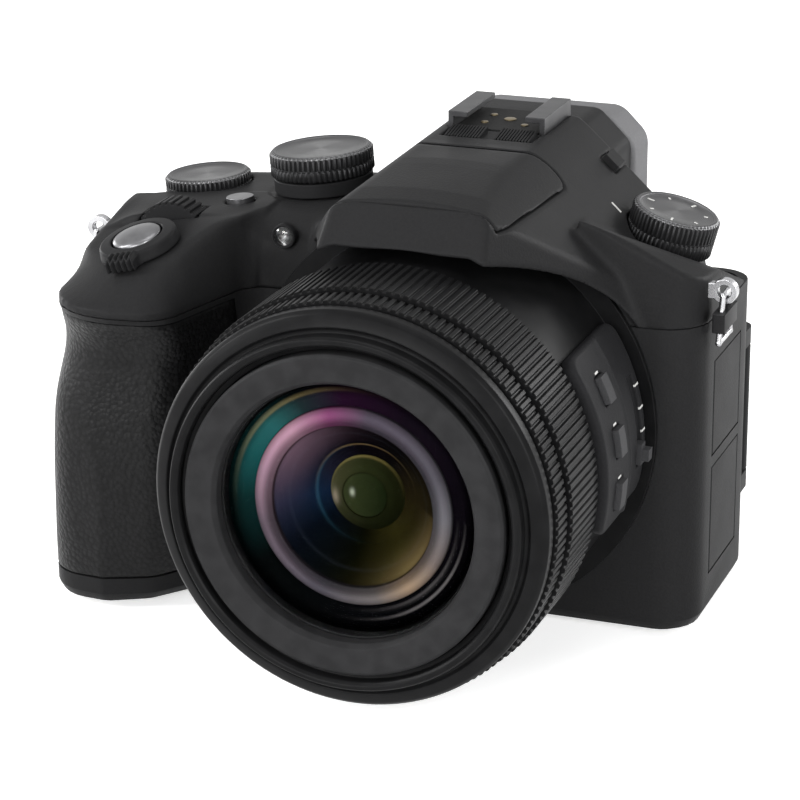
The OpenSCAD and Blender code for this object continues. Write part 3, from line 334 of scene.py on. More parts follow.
def wheel(name, r, z0, z1, count, depth, body, node, at, axes):
    """A knurled dial with a spun top, a bright chamfer and a shallow dish."""
    per, dish = 8, 0.35
    n = count * per
    a = np.arange(n) * 2 * np.pi / n
    groove = np.array([0, 0, 0, 0.25, 0.9, 1.0, 0.9, 0.25])[np.arange(n) % per] * depth
    mid = (z0 + z1) / 2 - 0.3
    # Radius, height and share of the knurl's depth, from the foot up to the middle of the top
    rows = [(r - 2.2, z0, 0), (r - 0.35, z0, 1), (r, z0 + 0.35, 1), (r, mid - 0.25, 1),
            (r - 0.45, mid - 0.1, 0), (r - 0.45, mid + 0.1, 0), (r, mid + 0.25, 1), (r, z1 - 0.75, 1),
            (r - 0.12, z1 - 0.6, 0.6), (r - 0.7, z1 - 0.05, 0), (r - 1.0, z1, 0), (r - 1.25, z1 - 0.05, 0),
            (r - 1.5, z1 - dish, 0), (r * 0.5, z1 - dish - 0.05, 0), (r * 0.22, z1 - dish, 0),
            (0.6, z1 - dish - 0.03, 0)]
    knurled = 8
    rad = np.array([[q[0] - groove[i] * q[2] for q in rows] for i in range(n)])
    m = len(rows)
    verts = np.stack([rad * np.cos(a)[:, None], rad * np.sin(a)[:, None],
                      np.broadcast_to([q[1] for q in rows], rad.shape)], 2).reshape(-1, 3)
    faces, index = [], []
    for j in range(m - 1):
        faces += [(i * m + j, (i + 1) % n * m + j, (i + 1) % n * m + j + 1, i * m + j + 1) for i in range(n)]
        index += [0 if j < knurled else 1] * n
    faces += [[i * m + m - 1 for i in range(n)], [i * m for i in range(n)][::-1]]
    index += [1, 0]
    mats = [SLOTS["dial_metal"], SPUN]
    return piece(name, verts, faces, mats, body, [node], axes, at, index, 50)


def bars(boxes):
    """Closed boxes from (x0, x1, y0, y1, z0, top at y0, top at y1)."""
    verts, faces = [], []
    quads = ((0, 3, 2, 1), (4, 5, 6, 7), (0, 1, 5, 4), (1, 2, 6, 5), (2, 3, 7, 6), (3, 0, 4, 7))
    for x0, x1, y0, y1, z0, za, zb in boxes:
        k = len(verts)
        verts += [(x0, y0, z0), (x1, y0, z0), (x1, y1, z0), (x0, y1, z0),
                  (x0, y0, za), (x1, y0, za), (x1, y1, zb), (x0, y1, zb)]
        faces += [tuple(k + i for i in q) for q in quads]
    return verts, faces


# Blended solids: each is a distance field, meshed on a grid

def smin(a, b, k):
    h = np.clip(0.5 + 0.5 * (b - a) / k, 0, 1)
    return b + (a - b) * h - k * h * (1 - h)


def smax(a, b, k):
    return -smin(-a, -b, k)


def plane(p, normal, at):
    n = np.asarray(normal, float)
    n = n / np.linalg.norm(n)
    return (p[0] - at[0]) * n[0] + (p[1] - at[1]) * n[1] + (p[2] - at[2]) * n[2]


def facet(p, a, b, c, inside):
    """Distance outside the plane through three points, negative on the inside."""
    a, b, c = (np.array(v, float) for v in (a, b, c))
    n = np.cross(b - a, c - a)
    return plane(p, n if (np.array(inside) - a) @ n < 0 else -n, a)


def outline(u, v, points):
    """Signed distance to a closed outline in a plane."""
    points = np.asarray(points, float)
    best = np.full(np.broadcast(u, v).shape, 1e9)
    sign = np.ones_like(best)
    for (ax, ay), (bx, by) in zip(points, np.roll(points, -1, 0)):
        ex, ey = bx - ax, by - ay
        wx, wy = u - ax, v - ay
        t = np.clip((wx * ex + wy * ey) / (ex * ex + ey * ey), 0, 1)
        best = np.minimum(best, (wx - ex * t) ** 2 + (wy - ey * t) ** 2)
        up, down, side = v >= ay, v < by, ex * wy > ey * wx
        sign = np.where((up & down & side) | (~up & ~down & ~side), -sign, sign)
    return np.sqrt(best) * sign


def rounded(corners, steps=8):
    """Outline from corners given as (x, y, radius)."""
    out = []
    for i, (x, y, r) in enumerate(corners):
        b = np.array((x, y), float)
        if not r:
            out.append(b)
            continue
        a, c = (np.array(corners[k % len(corners)][:2], float) for k in (i - 1, i + 1))
        u, v = (a - b) / np.linalg.norm(a - b), (c - b) / np.linalg.norm(c - b)
        half = math.acos(u @ v) / 2
        m = b + (u + v) / np.linalg.norm(u + v) * r / math.sin(half)
        p, q = b + u * r / math.tan(half) - m, b + v * r / math.tan(half) - m
        start, sweep = math.atan2(p[1], p[0]), math.atan2(p[0] * q[1] - p[1] * q[0], p @ q)
        out += [m + r * np.array([math.cos(start + sweep * k / steps), math.sin(start + sweep * k / steps)])
                for k in range(steps + 1)]
    return np.array(out)


def drum(p, at, axis, r, z0, z1=60.0):
    w = plane(p, axis, at)
    q = (p[0] - at[0]) ** 2 + (p[1] - at[1]) ** 2 + (p[2] - at[2]) ** 2 - w * w
    return np.maximum(np.sqrt(np.maximum(q, 0)) - r, np.maximum(z0 - w, w - z1))


def slab(p, low, high):
    sides = [d for i in range(3) for d in (low[i] - p[i], p[i] - high[i])]
    return np.maximum.reduce(np.broadcast_arrays(*sides))


def surface(field, low, h):
    """Surface nets: one point in each cell that the surface crosses, one quad round each crossed edge."""
    inside = field < 0
    shape = tuple(n - 1 for n in field.shape)
    total, count = np.zeros(shape + (3,), np.float32), np.zeros(shape, np.float32)
    for ax in range(3):
        a, b = ([slice(None)] * 3 for _ in range(2))
        a[ax], b[ax] = slice(0, -1), slice(1, None)
        fa, fb = field[tuple(a)], field[tuple(b)]
        cross = (fa < 0) != (fb < 0)
        t = np.where(cross, fa / np.where(cross, fa - fb, 1), 0).astype(np.float32)
        u, v = (i for i in range(3) if i != ax)
        for du in (0, 1):
            for dv in (0, 1):
                part = [slice(None)] * 3
                part[u], part[v] = slice(du, shape[u] + du), slice(dv, shape[v] + dv)
                hit = cross[tuple(part)]
                count += hit
                total[..., ax] += t[tuple(part)]
                total[..., u] += hit * du
                total[..., v] += hit * dv
    used = count > 0
    number = np.full(shape, -1, np.int64)
    number[used] = np.arange(used.sum())
    verts = (np.argwhere(used) + total[used] / count[used][:, None]) * h + np.asarray(low)
    quads = []
    for ax in range(3):
        a, b = ([slice(1, -1)] * 3 for _ in range(2))
        a[ax], b[ax] = slice(0, -1), slice(1, None)
        edge = np.argwhere(inside[tuple(a)] != inside[tuple(b)])
        flip = inside[tuple(b)][tuple(edge.T)]
        edge = edge + np.array([0 if i == ax else 1 for i in range(3)])
        du, dv = np.eye(3, dtype=int)[(ax + 1) % 3], np.eye(3, dtype=int)[(ax + 2) % 3]
        q = np.stack([number[tuple((edge - s).T)] for s in (du + dv, dv, 0 * du, du)], 1)
        q[flip] = q[flip][:, ::-1]
        quads.append(q)
    return verts, np.concatenate(quads)


def solid(fn, low, high, h):
    """Mesh the zero surface of a field, then draw its points onto it."""
    axes = [np.arange(a, b + h, h) for a, b in zip(low, high)]
    grid = np.ix_(*axes)
    field = np.broadcast_to(fn(grid), tuple(len(a) for a in axes)).astype(np.float32)
    verts, quads = surface(field, low, h)
    for _ in range(3):
        step = 0.05 * np.eye(3)
        slope = np.stack([fn((verts + s).T) - fn((verts - s).T) for s in step], 1) / 0.1
        size = np.maximum((slope * slope).sum(1), 0.25)
        verts = verts - np.clip(fn(verts.T) / size, -0.6 * h, 0.6 * h)[:, None] * slope
    return verts, quads


PLAN = rounded([(RIGHT_X, FRONT_Y, 9), (RIGHT_X, BACK_Y, 7), (-79.5, BACK_Y, 12), (-79.5, -49.5, 15),
                (-63, -50.5, 3), (-52, -49, 8), (-44.5, FRONT_Y, 6)])
PLATFORM = rounded([(-79, 0, 0), (-79.3, -27.5, 6), (-69, -38.8, 9), (-60.5, -43.6, 7), (-53.5, -36.5, 5),
                    (-46.6, -21, 3), (-44, 0, 0)], 6)
TAIL = rounded([(20, 66, 0), (20, 88, 4), (12.8, 95, 4), (-12.8, 95, 4), (-20, 88, 4), (-20, 66, 0)], 5)
DECK_N, DRIVE_N, GRIP_N = axis_of(DECK_AXES), axis_of(SHOULDER_AXES), axis_of(GRIP_AXES)


def lid_side(g):
    """Side outline of the flash lid, grown by g."""
    arc = [(LID_PIN[0] + (LID_ARC + g) * math.cos(t), LID_PIN[1] + (LID_ARC + g) * math.sin(t))
           for t in np.radians(np.linspace(90, -90, 13))]
    return [(-45 - g, 90.8 - g), (-45 - g, 99.5), (LID_PIN[0], 99.5)] + arc


def hump(p):
    """The hump with its crowned top, the slanted plate over the lens and the sloping sides."""
    x, y, z = p
    inside = (0, -20, 80)
    crown = 1.2 * np.clip(1 - (x / 15) ** 2, 0, 1) * np.clip((-4 - y) / 16, 0, 1)
    ridge = np.interp(y, [-52, -46, -38.6, -23.9, -10, 30], [92.2, 93.75, 94.9, 95.9, 96.45, HUMP_Z])
    d = smax(z - ridge - crown, plane(p, (0, -0.818, 0.576), (0, -46, 93.7)), 0.7)
    for s in (1, -1):
        nose, top = (s * 16, -46, 93.7), (s * 12.7, -8, HUMP_Z)
        side = (s * 31, -19.5, 85.7 if s > 0 else 84.6)
        under = side if s > 0 else (-29.5, -20, 80)
        upper = facet(p, nose, top, side, inside)
        rear = facet(p, top, (s * 12.7, 24, HUMP_Z), (s * 31, 24, 79.5), inside)
        lower = facet(p, nose, (s * 17, -51, 86.6), under, inside)
        d = smax(d, smax(smax(upper, rear, 2), lower, 0.7), 0.8)
    d = smax(d, np.maximum(y - 24.5, SEAM_Z - z), 0.5)
    return smax(d, np.abs(x - 5) - 36, 1)


def top_shape(p):
    """The top cover without its holes: deck, grip head, hump, right shoulder and viewfinder."""
    x, y, z = p
    plan = outline(x, y, PLAN)
    level = plane(p, DECK_N, MODE)
    left = smax(smax(smax(plan, level, 12), FRONT_Y - y, 1.2), x + 18, 0.5)
    head_z = SHUTTER[2] - (GRIP_N[0] * (x - SHUTTER[0]) + GRIP_N[1] * (y - SHUTTER[1])) / GRIP_N[2]
    t = np.clip((z - 67.5) / (np.maximum(head_z, 70) - 67.5), 0, 1.1)
    flank = plan + (outline(x, y, PLATFORM) - plan) * (0.45 * t + 0.55 * t * t)
    head = smax(smax(flank, plane(p, GRIP_N, SHUTTER), 2.2), level, 1.0)
    head = smax(head, np.maximum(y + 2, x + 43), 0.6)
    visor = facet(p, (31, -19.6, 85.7), (51, -18.2, 80.3), (35, -20, 76.6), (40, 0, 70))
    back = facet(p, (31, -18.6, 85.4), (51, -17.2, 80.1), (37.5, -3, 77.6), (40, 0, 60))
    seat = plane(p, DRIVE_N, DRIVE)
    shoulder = smax(smax(plan, visor, 0.5), np.where(y < -3, back, np.maximum(seat, back)), 0.6)
    shoulder = smax(smax(shoulder, 26 - x, 0.5), plane(p, (0.45, 0, 0.9), (47.5, 0, 77.5)), 1.2)
    tail = smax(outline(x, z, TAIL), np.maximum(y - 39, 20 - y), 0.8)
    d = smin(smin(left, head, 1.2), smin(hump(p), shoulder, 1.6), 1.4)
    d = smax(smin(d, tail, 1.2), SEAM_Z - z, 0.4)
    r = np.hypot(x, z - LENS_Z)
    arch = np.maximum(np.maximum(r - 44.6, y + 20.2), -np.maximum(y + 44.5, 86.4 - z))
    d = smax(d, -arch, 1.1)
    d = smax(d, -np.maximum(r - 42.6, y + 20.2), 0.8)
    return smax(d, -np.maximum(r - 39.8, y + 13), 0.5)


def on_slope(p):
    """Coordinates at the flash key's seat: out of the hump's right slope, back and up the slope."""
    c, s = math.cos(KEY_SLOPE), math.sin(KEY_SLOPE)
    x, z = p[0] - KEY[0], p[2] - KEY[2]
    return x * c + z * s, p[1] - KEY[1], z * c - x * s


def top_cover(p):
    """The top cover with the lid bay, the shoe seat and the holes for the controls."""
    x, y, z = p
    d = smax(top_shape(p), -outline(y, z, lid_side(0.3)) + 0 * x, 0.35)
    holes = [slab(p, (-10.55, 6.7, 95.2), (10.55, 24.9, 120)), slab(p, (-9.8, 0.0, 95.4), (9.8, 6.4, 120)),
             drum(p, MODE, DECK_N, 11.7, 0.0), drum(p, REAR_DIAL, DECK_N, 9.65, -2.6),
             drum(p, MOVIE, DECK_N, 3.25, -2.6), drum(p, FRONT_DIAL, (0, 1, 0), 8.35, -3.35, 3.35),
             drum(p, DRIVE, DRIVE_N, 9.55, -3.0), drum(p, LAMP, (0, 1, 0), 2.65, -4, 1.6),
             slab(on_slope(p), (0, -4, -2.2), (9, 4, 2.2)), drum(p, (-20, 32, 78), (1, 0, 0), 4.35, -6, 2.0),
             slab(p, (-12.2, 35.5, 72.9), (12.2, 60, 87.3)), slab(p, (-47, -13, 60), (11, -6, 71.5))]
    for hole in holes:
        d = smax(d, -hole, 0.35)
    return d


def flash_lid(p):
    x, y, z = p
    d = smax(hump(p), outline(y, z, lid_side(0.0)) + 0 * x, 0.35)
    pin = np.maximum(np.hypot(y - LID_PIN[0], z - LID_PIN[1]) - 1.2, np.abs(x) - 11)
    d = smax(d, -pin, 0.2)
    return smax(d, -slab(p, (-9.1, -46.5, 91.2), (9.1, -43.5, 93.2)), 0.2)


def covers():
    black = [SLOTS["body_plastic"]]
    v, q = solid(top_cover, (-81, -53, 65), (53, 40.5, 100), 0.5)
    piece("top_shell", v, q, black, BODY, ["top_cover"], sharp=0)
    v, q = solid(flash_lid, (-26, -47, 90), (26, -5, 99.5), 0.45)
    piece("flash_lid_shell", v, q, black, "flash_lid", ["flash_lid"], sharp=0)


# Grip

def curve(z, knots):
    """Smooth curve through knots, as a running mean of the straight one."""
    x, y = zip(*knots)
    return np.mean([np.interp(z + s, x, y) for s in np.linspace(-4, 4, 17)], 0)


def grip_outline(z, inset, count):
    """Points round the grip at one height, from the side wall round the front to the inner wall."""
    left = 79.5 + 4 * (SEAM_Z - z) / SEAM_Z
    hollow = curve(z, [(0, 6), (14, 4.7), (34, 3.9), (43, 4.1), (50, 5.27), (57, 6.2), (61, 3.72), (66, 0)])
    reach = GRIP_REACH - hollow
    back = curve(z, [(0, 4.2), (46, 3.4), (57, 2.2), (66, 1.5)])
    heel = curve(z, [(0, 10), (30, 8), (46, 8), (57, 13), (66, 15)])
    ridge = left - curve(z, [(0, 14), (28, 13.2), (40, 10.4), (46, 9.4), (57, 14.2), (66, 16.5)])
    tip = 52 + 8 * (SEAM_Z - z) / SEAM_Z
    i = inset
    line = rounded([(RIGHT_X, FRONT_Y + i, 0), (RIGHT_X, BACK_Y - i, 0), (-left + i, BACK_Y - i, 12 - i),
                    (-left + i, -reach + 1 + i, heel - i), (-ridge, -reach + i, 3),
                    (-tip - i, -reach + back + i, 8 - i), (-44.5 - i, FRONT_Y + i, 6 + i)], 14)
    dense = np.concatenate([np.linspace(a, b, 40, endpoint=False) for a, b in zip(line[:-1], line[1:])])
    run = dense[(dense[:, 0] < -46.1) & (dense[:, 1] < 3.9)]
    s = np.concatenate([[0], np.cumsum(np.linalg.norm(np.diff(run, axis=0), axis=1))])
    at = np.linspace(0, s[-1], count)
    return np.stack([np.interp(at, s, run[:, 0]), np.interp(at, s, run[:, 1]), np.full(count, z)], 1)


def grip():
    """Rubber skin of the grip, with rolled-in edges, and the thumb pad on the back."""
    low, high, count = CAP_Z + 0.15, SEAM_Z - 1.35, 150
    heights = np.concatenate([[low, low + 0.1, low + 0.3], np.linspace(low + 0.7, high - 0.7, 52),
                              [high - 0.3, high - 0.1, high]])
    edge = np.concatenate([[0.75, 0.35, 0.1], np.zeros(52), [0.1, 0.35, 0.75]])
    side = np.zeros(count)
    side[:3] = side[-3:][::-1] = (0.75, 0.3, 0.08)
    outer = [grip_outline(z, e, count) for z, e in zip(heights, edge)]
    inner = [grip_outline(z, 1.0, count) for z in heights]
    verts = np.concatenate(outer + inner)
    rows = len(heights)
    for k in range(rows):
        ring = verts[k * count:(k + 1) * count]
        out = ring - inner[k]
        ring -= out * np.clip(side, 0, 0.95)[:, None]
    faces = []
    for base, flip in ((0, False), (rows * count, True)):
        for k in range(rows - 1):
            for i in range(count - 1):
                f = (base + k * count + i, base + k * count + i + 1, base + (k + 1) * count + i + 1,
                     base + (k + 1) * count + i)
                faces.append(f[::-1] if flip else f)
    far = rows * count
    for i in range(count - 1):
        faces.append((i + 1, i, far + i, far + i + 1))
        t = (rows - 1) * count
        faces.append((t + i, t + i + 1, far + t + i + 1, far + t + i))
    for k in range(rows - 1):
        faces.append((k * count, k * count + count, far + k * count + count, far + k * count))
        t = count - 1
        faces.append((k * count + t + count, k * count + t, far + k * count + t, far + k * count + t + count))
    pad = rounded([(-71.5, 44, 5), (-60, 44, 5), (-60, 61, 5), (-71.5, 61, 5)], 8)
    base = len(verts)
    grid = []
    cx, cz = pad.mean(0)
    for y, g in ((28.9, 0), (30.2, 0), (30.65, -0.35), (30.8, -0.9)):
        kx, kz = 1 + g / 6, 1 + g / 8.5
        grid.append([(cx + (x - cx) * kx, y, cz + (z - cz) * kz) for x, z in pad])
    m = len(pad)
    verts = np.concatenate([verts] + [np.array(g) for g in grid])
    for k in range(3):
        near, far = base + k * m, base + (k + 1) * m
        faces += [(near + (i + 1) % m, near + i, far + i, far + (i + 1) % m) for i in range(m)]
    faces += [[base + i for i in range(m)], [base + 3 * m + i for i in range(m)][::-1]]
    piece("grip_skin", verts, faces, [SLOTS["grip_rubber"]], BODY, ["grip_rubber"], sharp=50)


# Lens

# Heights are along the lens, from the tripod axis forwards
NOSE = 83.65
RIM = 80.05
BEZEL_BACK = 76.65
BEZEL_R = 39.7
BEZEL_BORE = 35.3
FILTER_R = 33.5
GLASS_R = 25.2
# Outer radii of the inner faces
BAND_R = 20.0
BOWL_R = 16.2
OLIVE_R = 7.6
CORE_R = 4.5


def front_rings():
    """The stepped bezel and the flat ring round the glass."""
    shelf = NOSE - 3.8
    bezel = [(GLASS_R - 2.2, shelf - 4), (GLASS_R - 2.2, shelf - 2.6), (GLASS_R + 0.2, shelf - 2.6),
             (GLASS_R + 0.2, shelf), (FILTER_R - 1.2, shelf), (FILTER_R - 1.2, shelf + 1.2),
             (FILTER_R, shelf + 1.4), (FILTER_R, NOSE - 0.6), (FILTER_R + 0.7, NOSE), (FILTER_R + 1.5, NOSE),
             (FILTER_R + 1.9, NOSE - 0.7), (FILTER_R + 1.9, RIM + 0.9), (FILTER_R + 2.7, RIM + 0.8),
             (FILTER_R + 3.2, RIM + 1.5), (BEZEL_R - 0.7, RIM + 0.35), (BEZEL_R, RIM - 0.5),
             (BEZEL_R, BEZEL_BACK + 0.5), (BEZEL_R - 0.5, BEZEL_BACK), (BEZEL_BORE, BEZEL_BACK),
             (BEZEL_BORE, shelf - 4)]
    v, f = lathe(soften(bezel, 0.28), 224)
    piece("bezel", v, f, [SLOTS["lens_metal"]], BODY, ["front_bezel"], LENS_AXES, LENS_AT,
          sharp=60)
    ring = [(GLASS_R + 0.7, shelf), (GLASS_R + 0.7, NOSE - 1.5), (GLASS_R + 1.5, NOSE - 0.3),
            (FILTER_R - 2, NOSE - 0.05), (FILTER_R - 1.4, NOSE - 0.5), (FILTER_R - 1.4, shelf)]
    v, f = lathe(soften(ring, 0.2), 224)
    piece("front_ring", v, f, [NAME_GREY], BODY, ["name_ring"], LENS_AXES, LENS_AT, sharp=60)


def blend(x, stops):
    """Colour along a list of (place, colour)."""
    at = [s[0] for s in stops]
    return np.stack([np.interp(x, at, [s[1][k] for s in stops]) for k in range(3)], -1)


def bell(x, centre, width):
    return np.exp(-((x - centre) / width) ** 2)


def painted_reflection(r, turn):
    """Painted reflections and glints on the inner lens faces: the colour at a radius and an angle in degrees,
    0 at +X and 90 up.
    """
    t = turn % 360
    x, y = r * np.cos(np.radians(t)), r * np.sin(np.radians(t))

    def add(base, weight, colour):
        return base + weight[..., None] * np.array(colour)

    # Painted reflections: coloured crescents and rings on each step, by angle and radius
    cell = blend(t, [(0, (0.004, 0.003, 0.005)), (60, (0.010, 0.006, 0.012)), (95, (0.024, 0.006, 0.024)),
                     (118, (0.02, 0.035, 0.04)), (138, (0.03, 0.16, 0.16)), (158, (0.015, 0.11, 0.11)),
                     (182, (0.006, 0.03, 0.03)), (215, (0.002, 0.003, 0.003)), (360, (0.004, 0.003, 0.005))])
    # Darker towards the outer edge: painted shade by the rim
    cell = cell * np.clip((24.6 - r) / 2.4, 0.1, 1)[..., None]
    cell = add(cell, bell(r, 23.7, 0.3) * bell(t, 132, 28), (0.24, 0.17, 0.06))
    cell = add(cell, (bell(r, 21.2, 0.14) + bell(r, 22.6, 0.12)) * bell(t, 318, 26), (0.5, 0.46, 0.46))
    band = blend(t, [(0, (0.17, 0.16, 0.18)), (25, (0.10, 0.09, 0.11)), (80, (0.10, 0.08, 0.11)),
                     (104, (0.26, 0.07, 0.18)), (130, (0.55, 0.30, 0.40)), (160, (0.42, 0.25, 0.33)),
                     (195, (0.15, 0.11, 0.14)), (250, (0.09, 0.08, 0.10)), (285, (0.16, 0.14, 0.14)),
                     (308, (0.36, 0.25, 0.17)), (332, (0.20, 0.16, 0.15)), (360, (0.17, 0.16, 0.18))])
    band = band * (0.25 + 0.6 * bell(r, 18.6, 1.1))[..., None]
    bowl = blend(t, [(0, (0.030, 0.022, 0.008)), (50, (0.006, 0.005, 0.005)), (100, (0.006, 0.004, 0.007)),
                     (150, (0.02, 0.02, 0.04)), (185, (0.012, 0.03, 0.075)), (215, (0.004, 0.008, 0.016)),
                     (265, (0.006, 0.007, 0.002)), (310, (0.05, 0.042, 0.010)), (360, (0.030, 0.022, 0.008))])
    rim = np.clip((r - 10.5) / 5, 0, 1)
    bowl = add(bowl, rim * bell(t, 142, 34), (0.26, 0.15, 0.20))
    bowl = add(bowl, rim ** 2 * bell(t, 322, 30), (0.26, 0.18, 0.08))
    bowl = add(bowl, bell(r, 13.9, 0.14), (0.015, 0.018, 0.025))
    bowl = add(bowl, bell(r, 10.2, 0.18) * bell(t, 95, 50), (0.26, 0.17, 0.07))
    bowl = add(bowl, bell(r, 10.0, 0.25) * bell(t, 180, 45), (0.02, 0.08, 0.12))
    # Lighter to the upper left, darker to the lower right: painted light and shade
    olive = blend(x, [(-7.6, (0.10, 0.10, 0.045)), (0, (0.035, 0.042, 0.014)), (7.6, (0.012, 0.014, 0.004))])
    olive = olive * np.interp(y, [-7, 0, 5], [0.35, 1.0, 1.1])[..., None]
    olive = add(olive, bell(r, 7.4, 0.22) * bell(t, 105, 60), (0.26, 0.19, 0.06))
    # A pale painted highlight left of the centre
    olive = add(olive, bell(x, -6.3, 0.8) * bell(y, -1.2, 1.5), (0.42, 0.33, 0.27))
    core = blend(x, [(-4.5, (0.026, 0.032, 0.012)), (4.5, (0.006, 0.010, 0.003))])
    # A painted glint on the core
    core = add(core, bell(x, -2.3, 0.5) * bell(y, 0.6, 0.7), (0.3, 0.32, 0.26))
    out = np.where((r > BAND_R)[..., None], 0.6 * cell, band)
    out = np.where((r < BOWL_R)[..., None], 0.36 * bowl, out)
    out = np.where((r < OLIVE_R)[..., None], 0.4 * olive, out)
    out = np.where((r < CORE_R)[..., None], core, out)
    # Dark painted lines of shade at the steps between the faces
    for line, width in ((BAND_R, 0.12), (BOWL_R, 0.14), (CORE_R, 0.1)):
        out = out * (1 - 0.8 * bell(r, line, width))[..., None]
    return np.clip(out, 0, 1)


def front_glass():
    """A thin clear dome over the stepped inner faces behind it, which carry painted reflections."""
    n = 24
    edge = NOSE - 3.4
    r = np.linspace(0.05, GLASS_R - 0.1, n)
    outer = [(q, edge + 2.9 * (1 - (q / GLASS_R) ** 2)) for q in r]
    inner = [(q, h - 0.9) for q, h in reversed(outer)]
    v, f = lathe(outer + inner, 160)
    piece("front_glass", v, f, [FRONT_GLASS], BODY, ["front_element"], LENS_AXES, LENS_AT,
          sharp=60)
    at = np.array([(24.9, 78.6), (24.4, 78.4), (20.6, 77.2), (BAND_R, 77.0), (19.9, 77.6), (18.6, 78.2),
                   (17.2, 78.3), (16.3, 77.9), (BOWL_R, 77.3), (14.0, 75.0), (12.0, 72.6), (10.3, 70.6),
                   (10.1, 70.4), (8.8, 69.6), (OLIVE_R, 69.2), (7.4, 69.6), (6.0, 70.5), (4.6, 71.0),
                   (CORE_R, 70.8), (3.0, 71.5), (1.5, 71.8), (0.05, 71.9)])
    last = len(at) - 1
    runs = [np.linspace(i, i + 1, 9, endpoint=False) for i in range(last)]
    place = np.concatenate(runs + [[last]])
    front = np.stack([np.interp(place, range(last + 1), at[:, k]) for k in (0, 1)], 1)
    back = np.array([(0.05, 66.5), (9.0, 66.5), (17.0, 70.5), (24.9, 77.6)])
    v, f = lathe(np.concatenate([front, back]), 240)
    obj = piece("lens_faces", v, f, [LENS_REFLECTION_GLOW], BODY, (), LENS_AXES, LENS_AT, sharp=40)
    rad, turn = np.hypot(v[:, 0], v[:, 1]), np.degrees(np.arctan2(v[:, 1], v[:, 0]))
    # Painted reflections: the full colours glow as emission, a dim share is the base colour
    for layer, share in (("painted_reflection", 1.0), ("painted_reflection_dim", 0.15)):
        colour = np.concatenate([painted_reflection(rad, turn) * share, np.ones((len(v), 1))], 1)
        paint = obj.data.color_attributes.new(layer, "FLOAT_COLOR", "POINT")
        paint.data.foreach_set("color", colour.astype(np.float32).ravel())


# Small pieces

def dials():
    wheel("mode_wheel", 11.0, 3.75, 9.15, 60, 0.42, "mode_dial", "mode_dial", MODE, DECK_AXES)
    wheel("rear_wheel", 9.3, -2.0, 2.4, 56, 0.4, "rear_dial", "rear_dial", REAR_DIAL, DECK_AXES)
    wheel("drive_wheel", 9.2, -2.4, 5.6, 56, 0.4, "drive_dial", "drive_dial", DRIVE, SHOULDER_AXES)
    marks = []
    for k in range(7):
        a = math.radians(20 + k * 51)
        marks.append((6.1 * math.cos(a), 6.1 * math.sin(a), a, 1.5 if k % 2 else 0.8))
    verts, faces = [], []
    for x, y, a, long in marks:
        v, f = bars([(-long / 2, long / 2, -0.22, 0.22, 5.1, 5.3, 5.3)])
        c, s = math.cos(a), math.sin(a)
        faces += [tuple(i + len(verts) for i in q) for q in f]
        verts += [(x + p[0] * c - p[1] * s, y + p[0] * s + p[1] * c, p[2]) for p in v]
    piece("drive_marks", verts, faces, [MARK], "drive_dial", axes=SHOULDER_AXES, at=DRIVE)


def shutter():
    """The domed button and the lever round it, whose tab has five ribs, on the grip's own axes."""
    top = [(r, 4.2 - 0.85 * (r / 4.9) ** 2) for r in np.linspace(0.02, 4.9, 9)]
    v, f = lathe(np.array([(0.02, -5), (2, -5), (2, 2), (5.15, 2), (5.15, 3.0)] + top[::-1]), 96)
    piece("shutter_dome", v, f, [SLOTS["shutter_metal"]], "shutter_button", ["shutter_button"],
          GRIP_AXES, SHUTTER, sharp=50)
    bore, foot = 5.5, 0.3

    def lever(p):
        x, y, z = p
        r = np.hypot(x, y)
        ring = smax(r - 8.75 + 0.22 * z, bore - r, 0.2)
        ring = smax(ring, np.maximum(foot - z, z - 2.9 - 0.12 * (8 - r)), 0.5)
        ribs = 0.4 * np.cos(2 * np.pi * x / 1.25)
        tab = smax(np.abs(x) - 3.2, np.maximum(-10.6 - y + ribs, y + 7.4), 0.4)
        tab = smax(tab, np.maximum(foot - z, z - 3.2 - ribs), 0.5)
        return smax(smin(ring, tab, 0.7), bore - r, 0.2)

    v, q = solid(lever, (-9.4, -11.8, 0.0), (9.4, 9.4, 4.4), 0.22)
    piece("zoom_lever_ring", v, q, [SLOTS["control_black"]], "zoom_lever", ["zoom_lever"],
          GRIP_AXES, SHUTTER, sharp=0)


def lamp_window():
    """The assist lamp: a black rim, a bright reflector and a clear dome."""
    rim = [(2.0, -1.4), (2.0, 0.1), (2.15, 0.4), (2.4, 0.4), (2.6, 0.1), (2.6, -1.4)]
    cup = [(1.95, 0.1), (1.6, -0.4), (0.6, -1.1), (0.02, -1.2), (0.02, -1.5), (1.95, -1.5)]
    dome = [(r, 0.75 - 0.55 * (r / 1.9) ** 2) for r in np.linspace(0.02, 1.9, 8)]
    dome += [(r, h - 0.3) for r, h in dome[::-1]]
    for name, line, mat in (("lamp_rim", soften(rim, 0.1), SLOTS["control_black"]),
                            ("lamp_cup", np.array(cup), SLOTS["shutter_metal"]),
                            ("lamp_dome", np.array(dome), LAMP_GLASS)):
        v, f = lathe(line, 64)
        piece(name, v, f, [mat], BODY, ["af_lamp"], LENS_AXES, LAMP, sharp=40)


# The pad on the lens: places along Y, turns about the lens axis in degrees, 0 at +X
PAD_Y = (-52.3, -23.0)
PAD_TURN = (-15, 36)
PAD_R = 43.0
PAD_CORNER = 3.5
PAD_STEP_Y = -37
BUTTON_TURNS = (23.5, 9, -5.5)
BUTTON_Y = -43.8
SLOT_Y = -27.5
SLOT_TURN = (-6, 20)


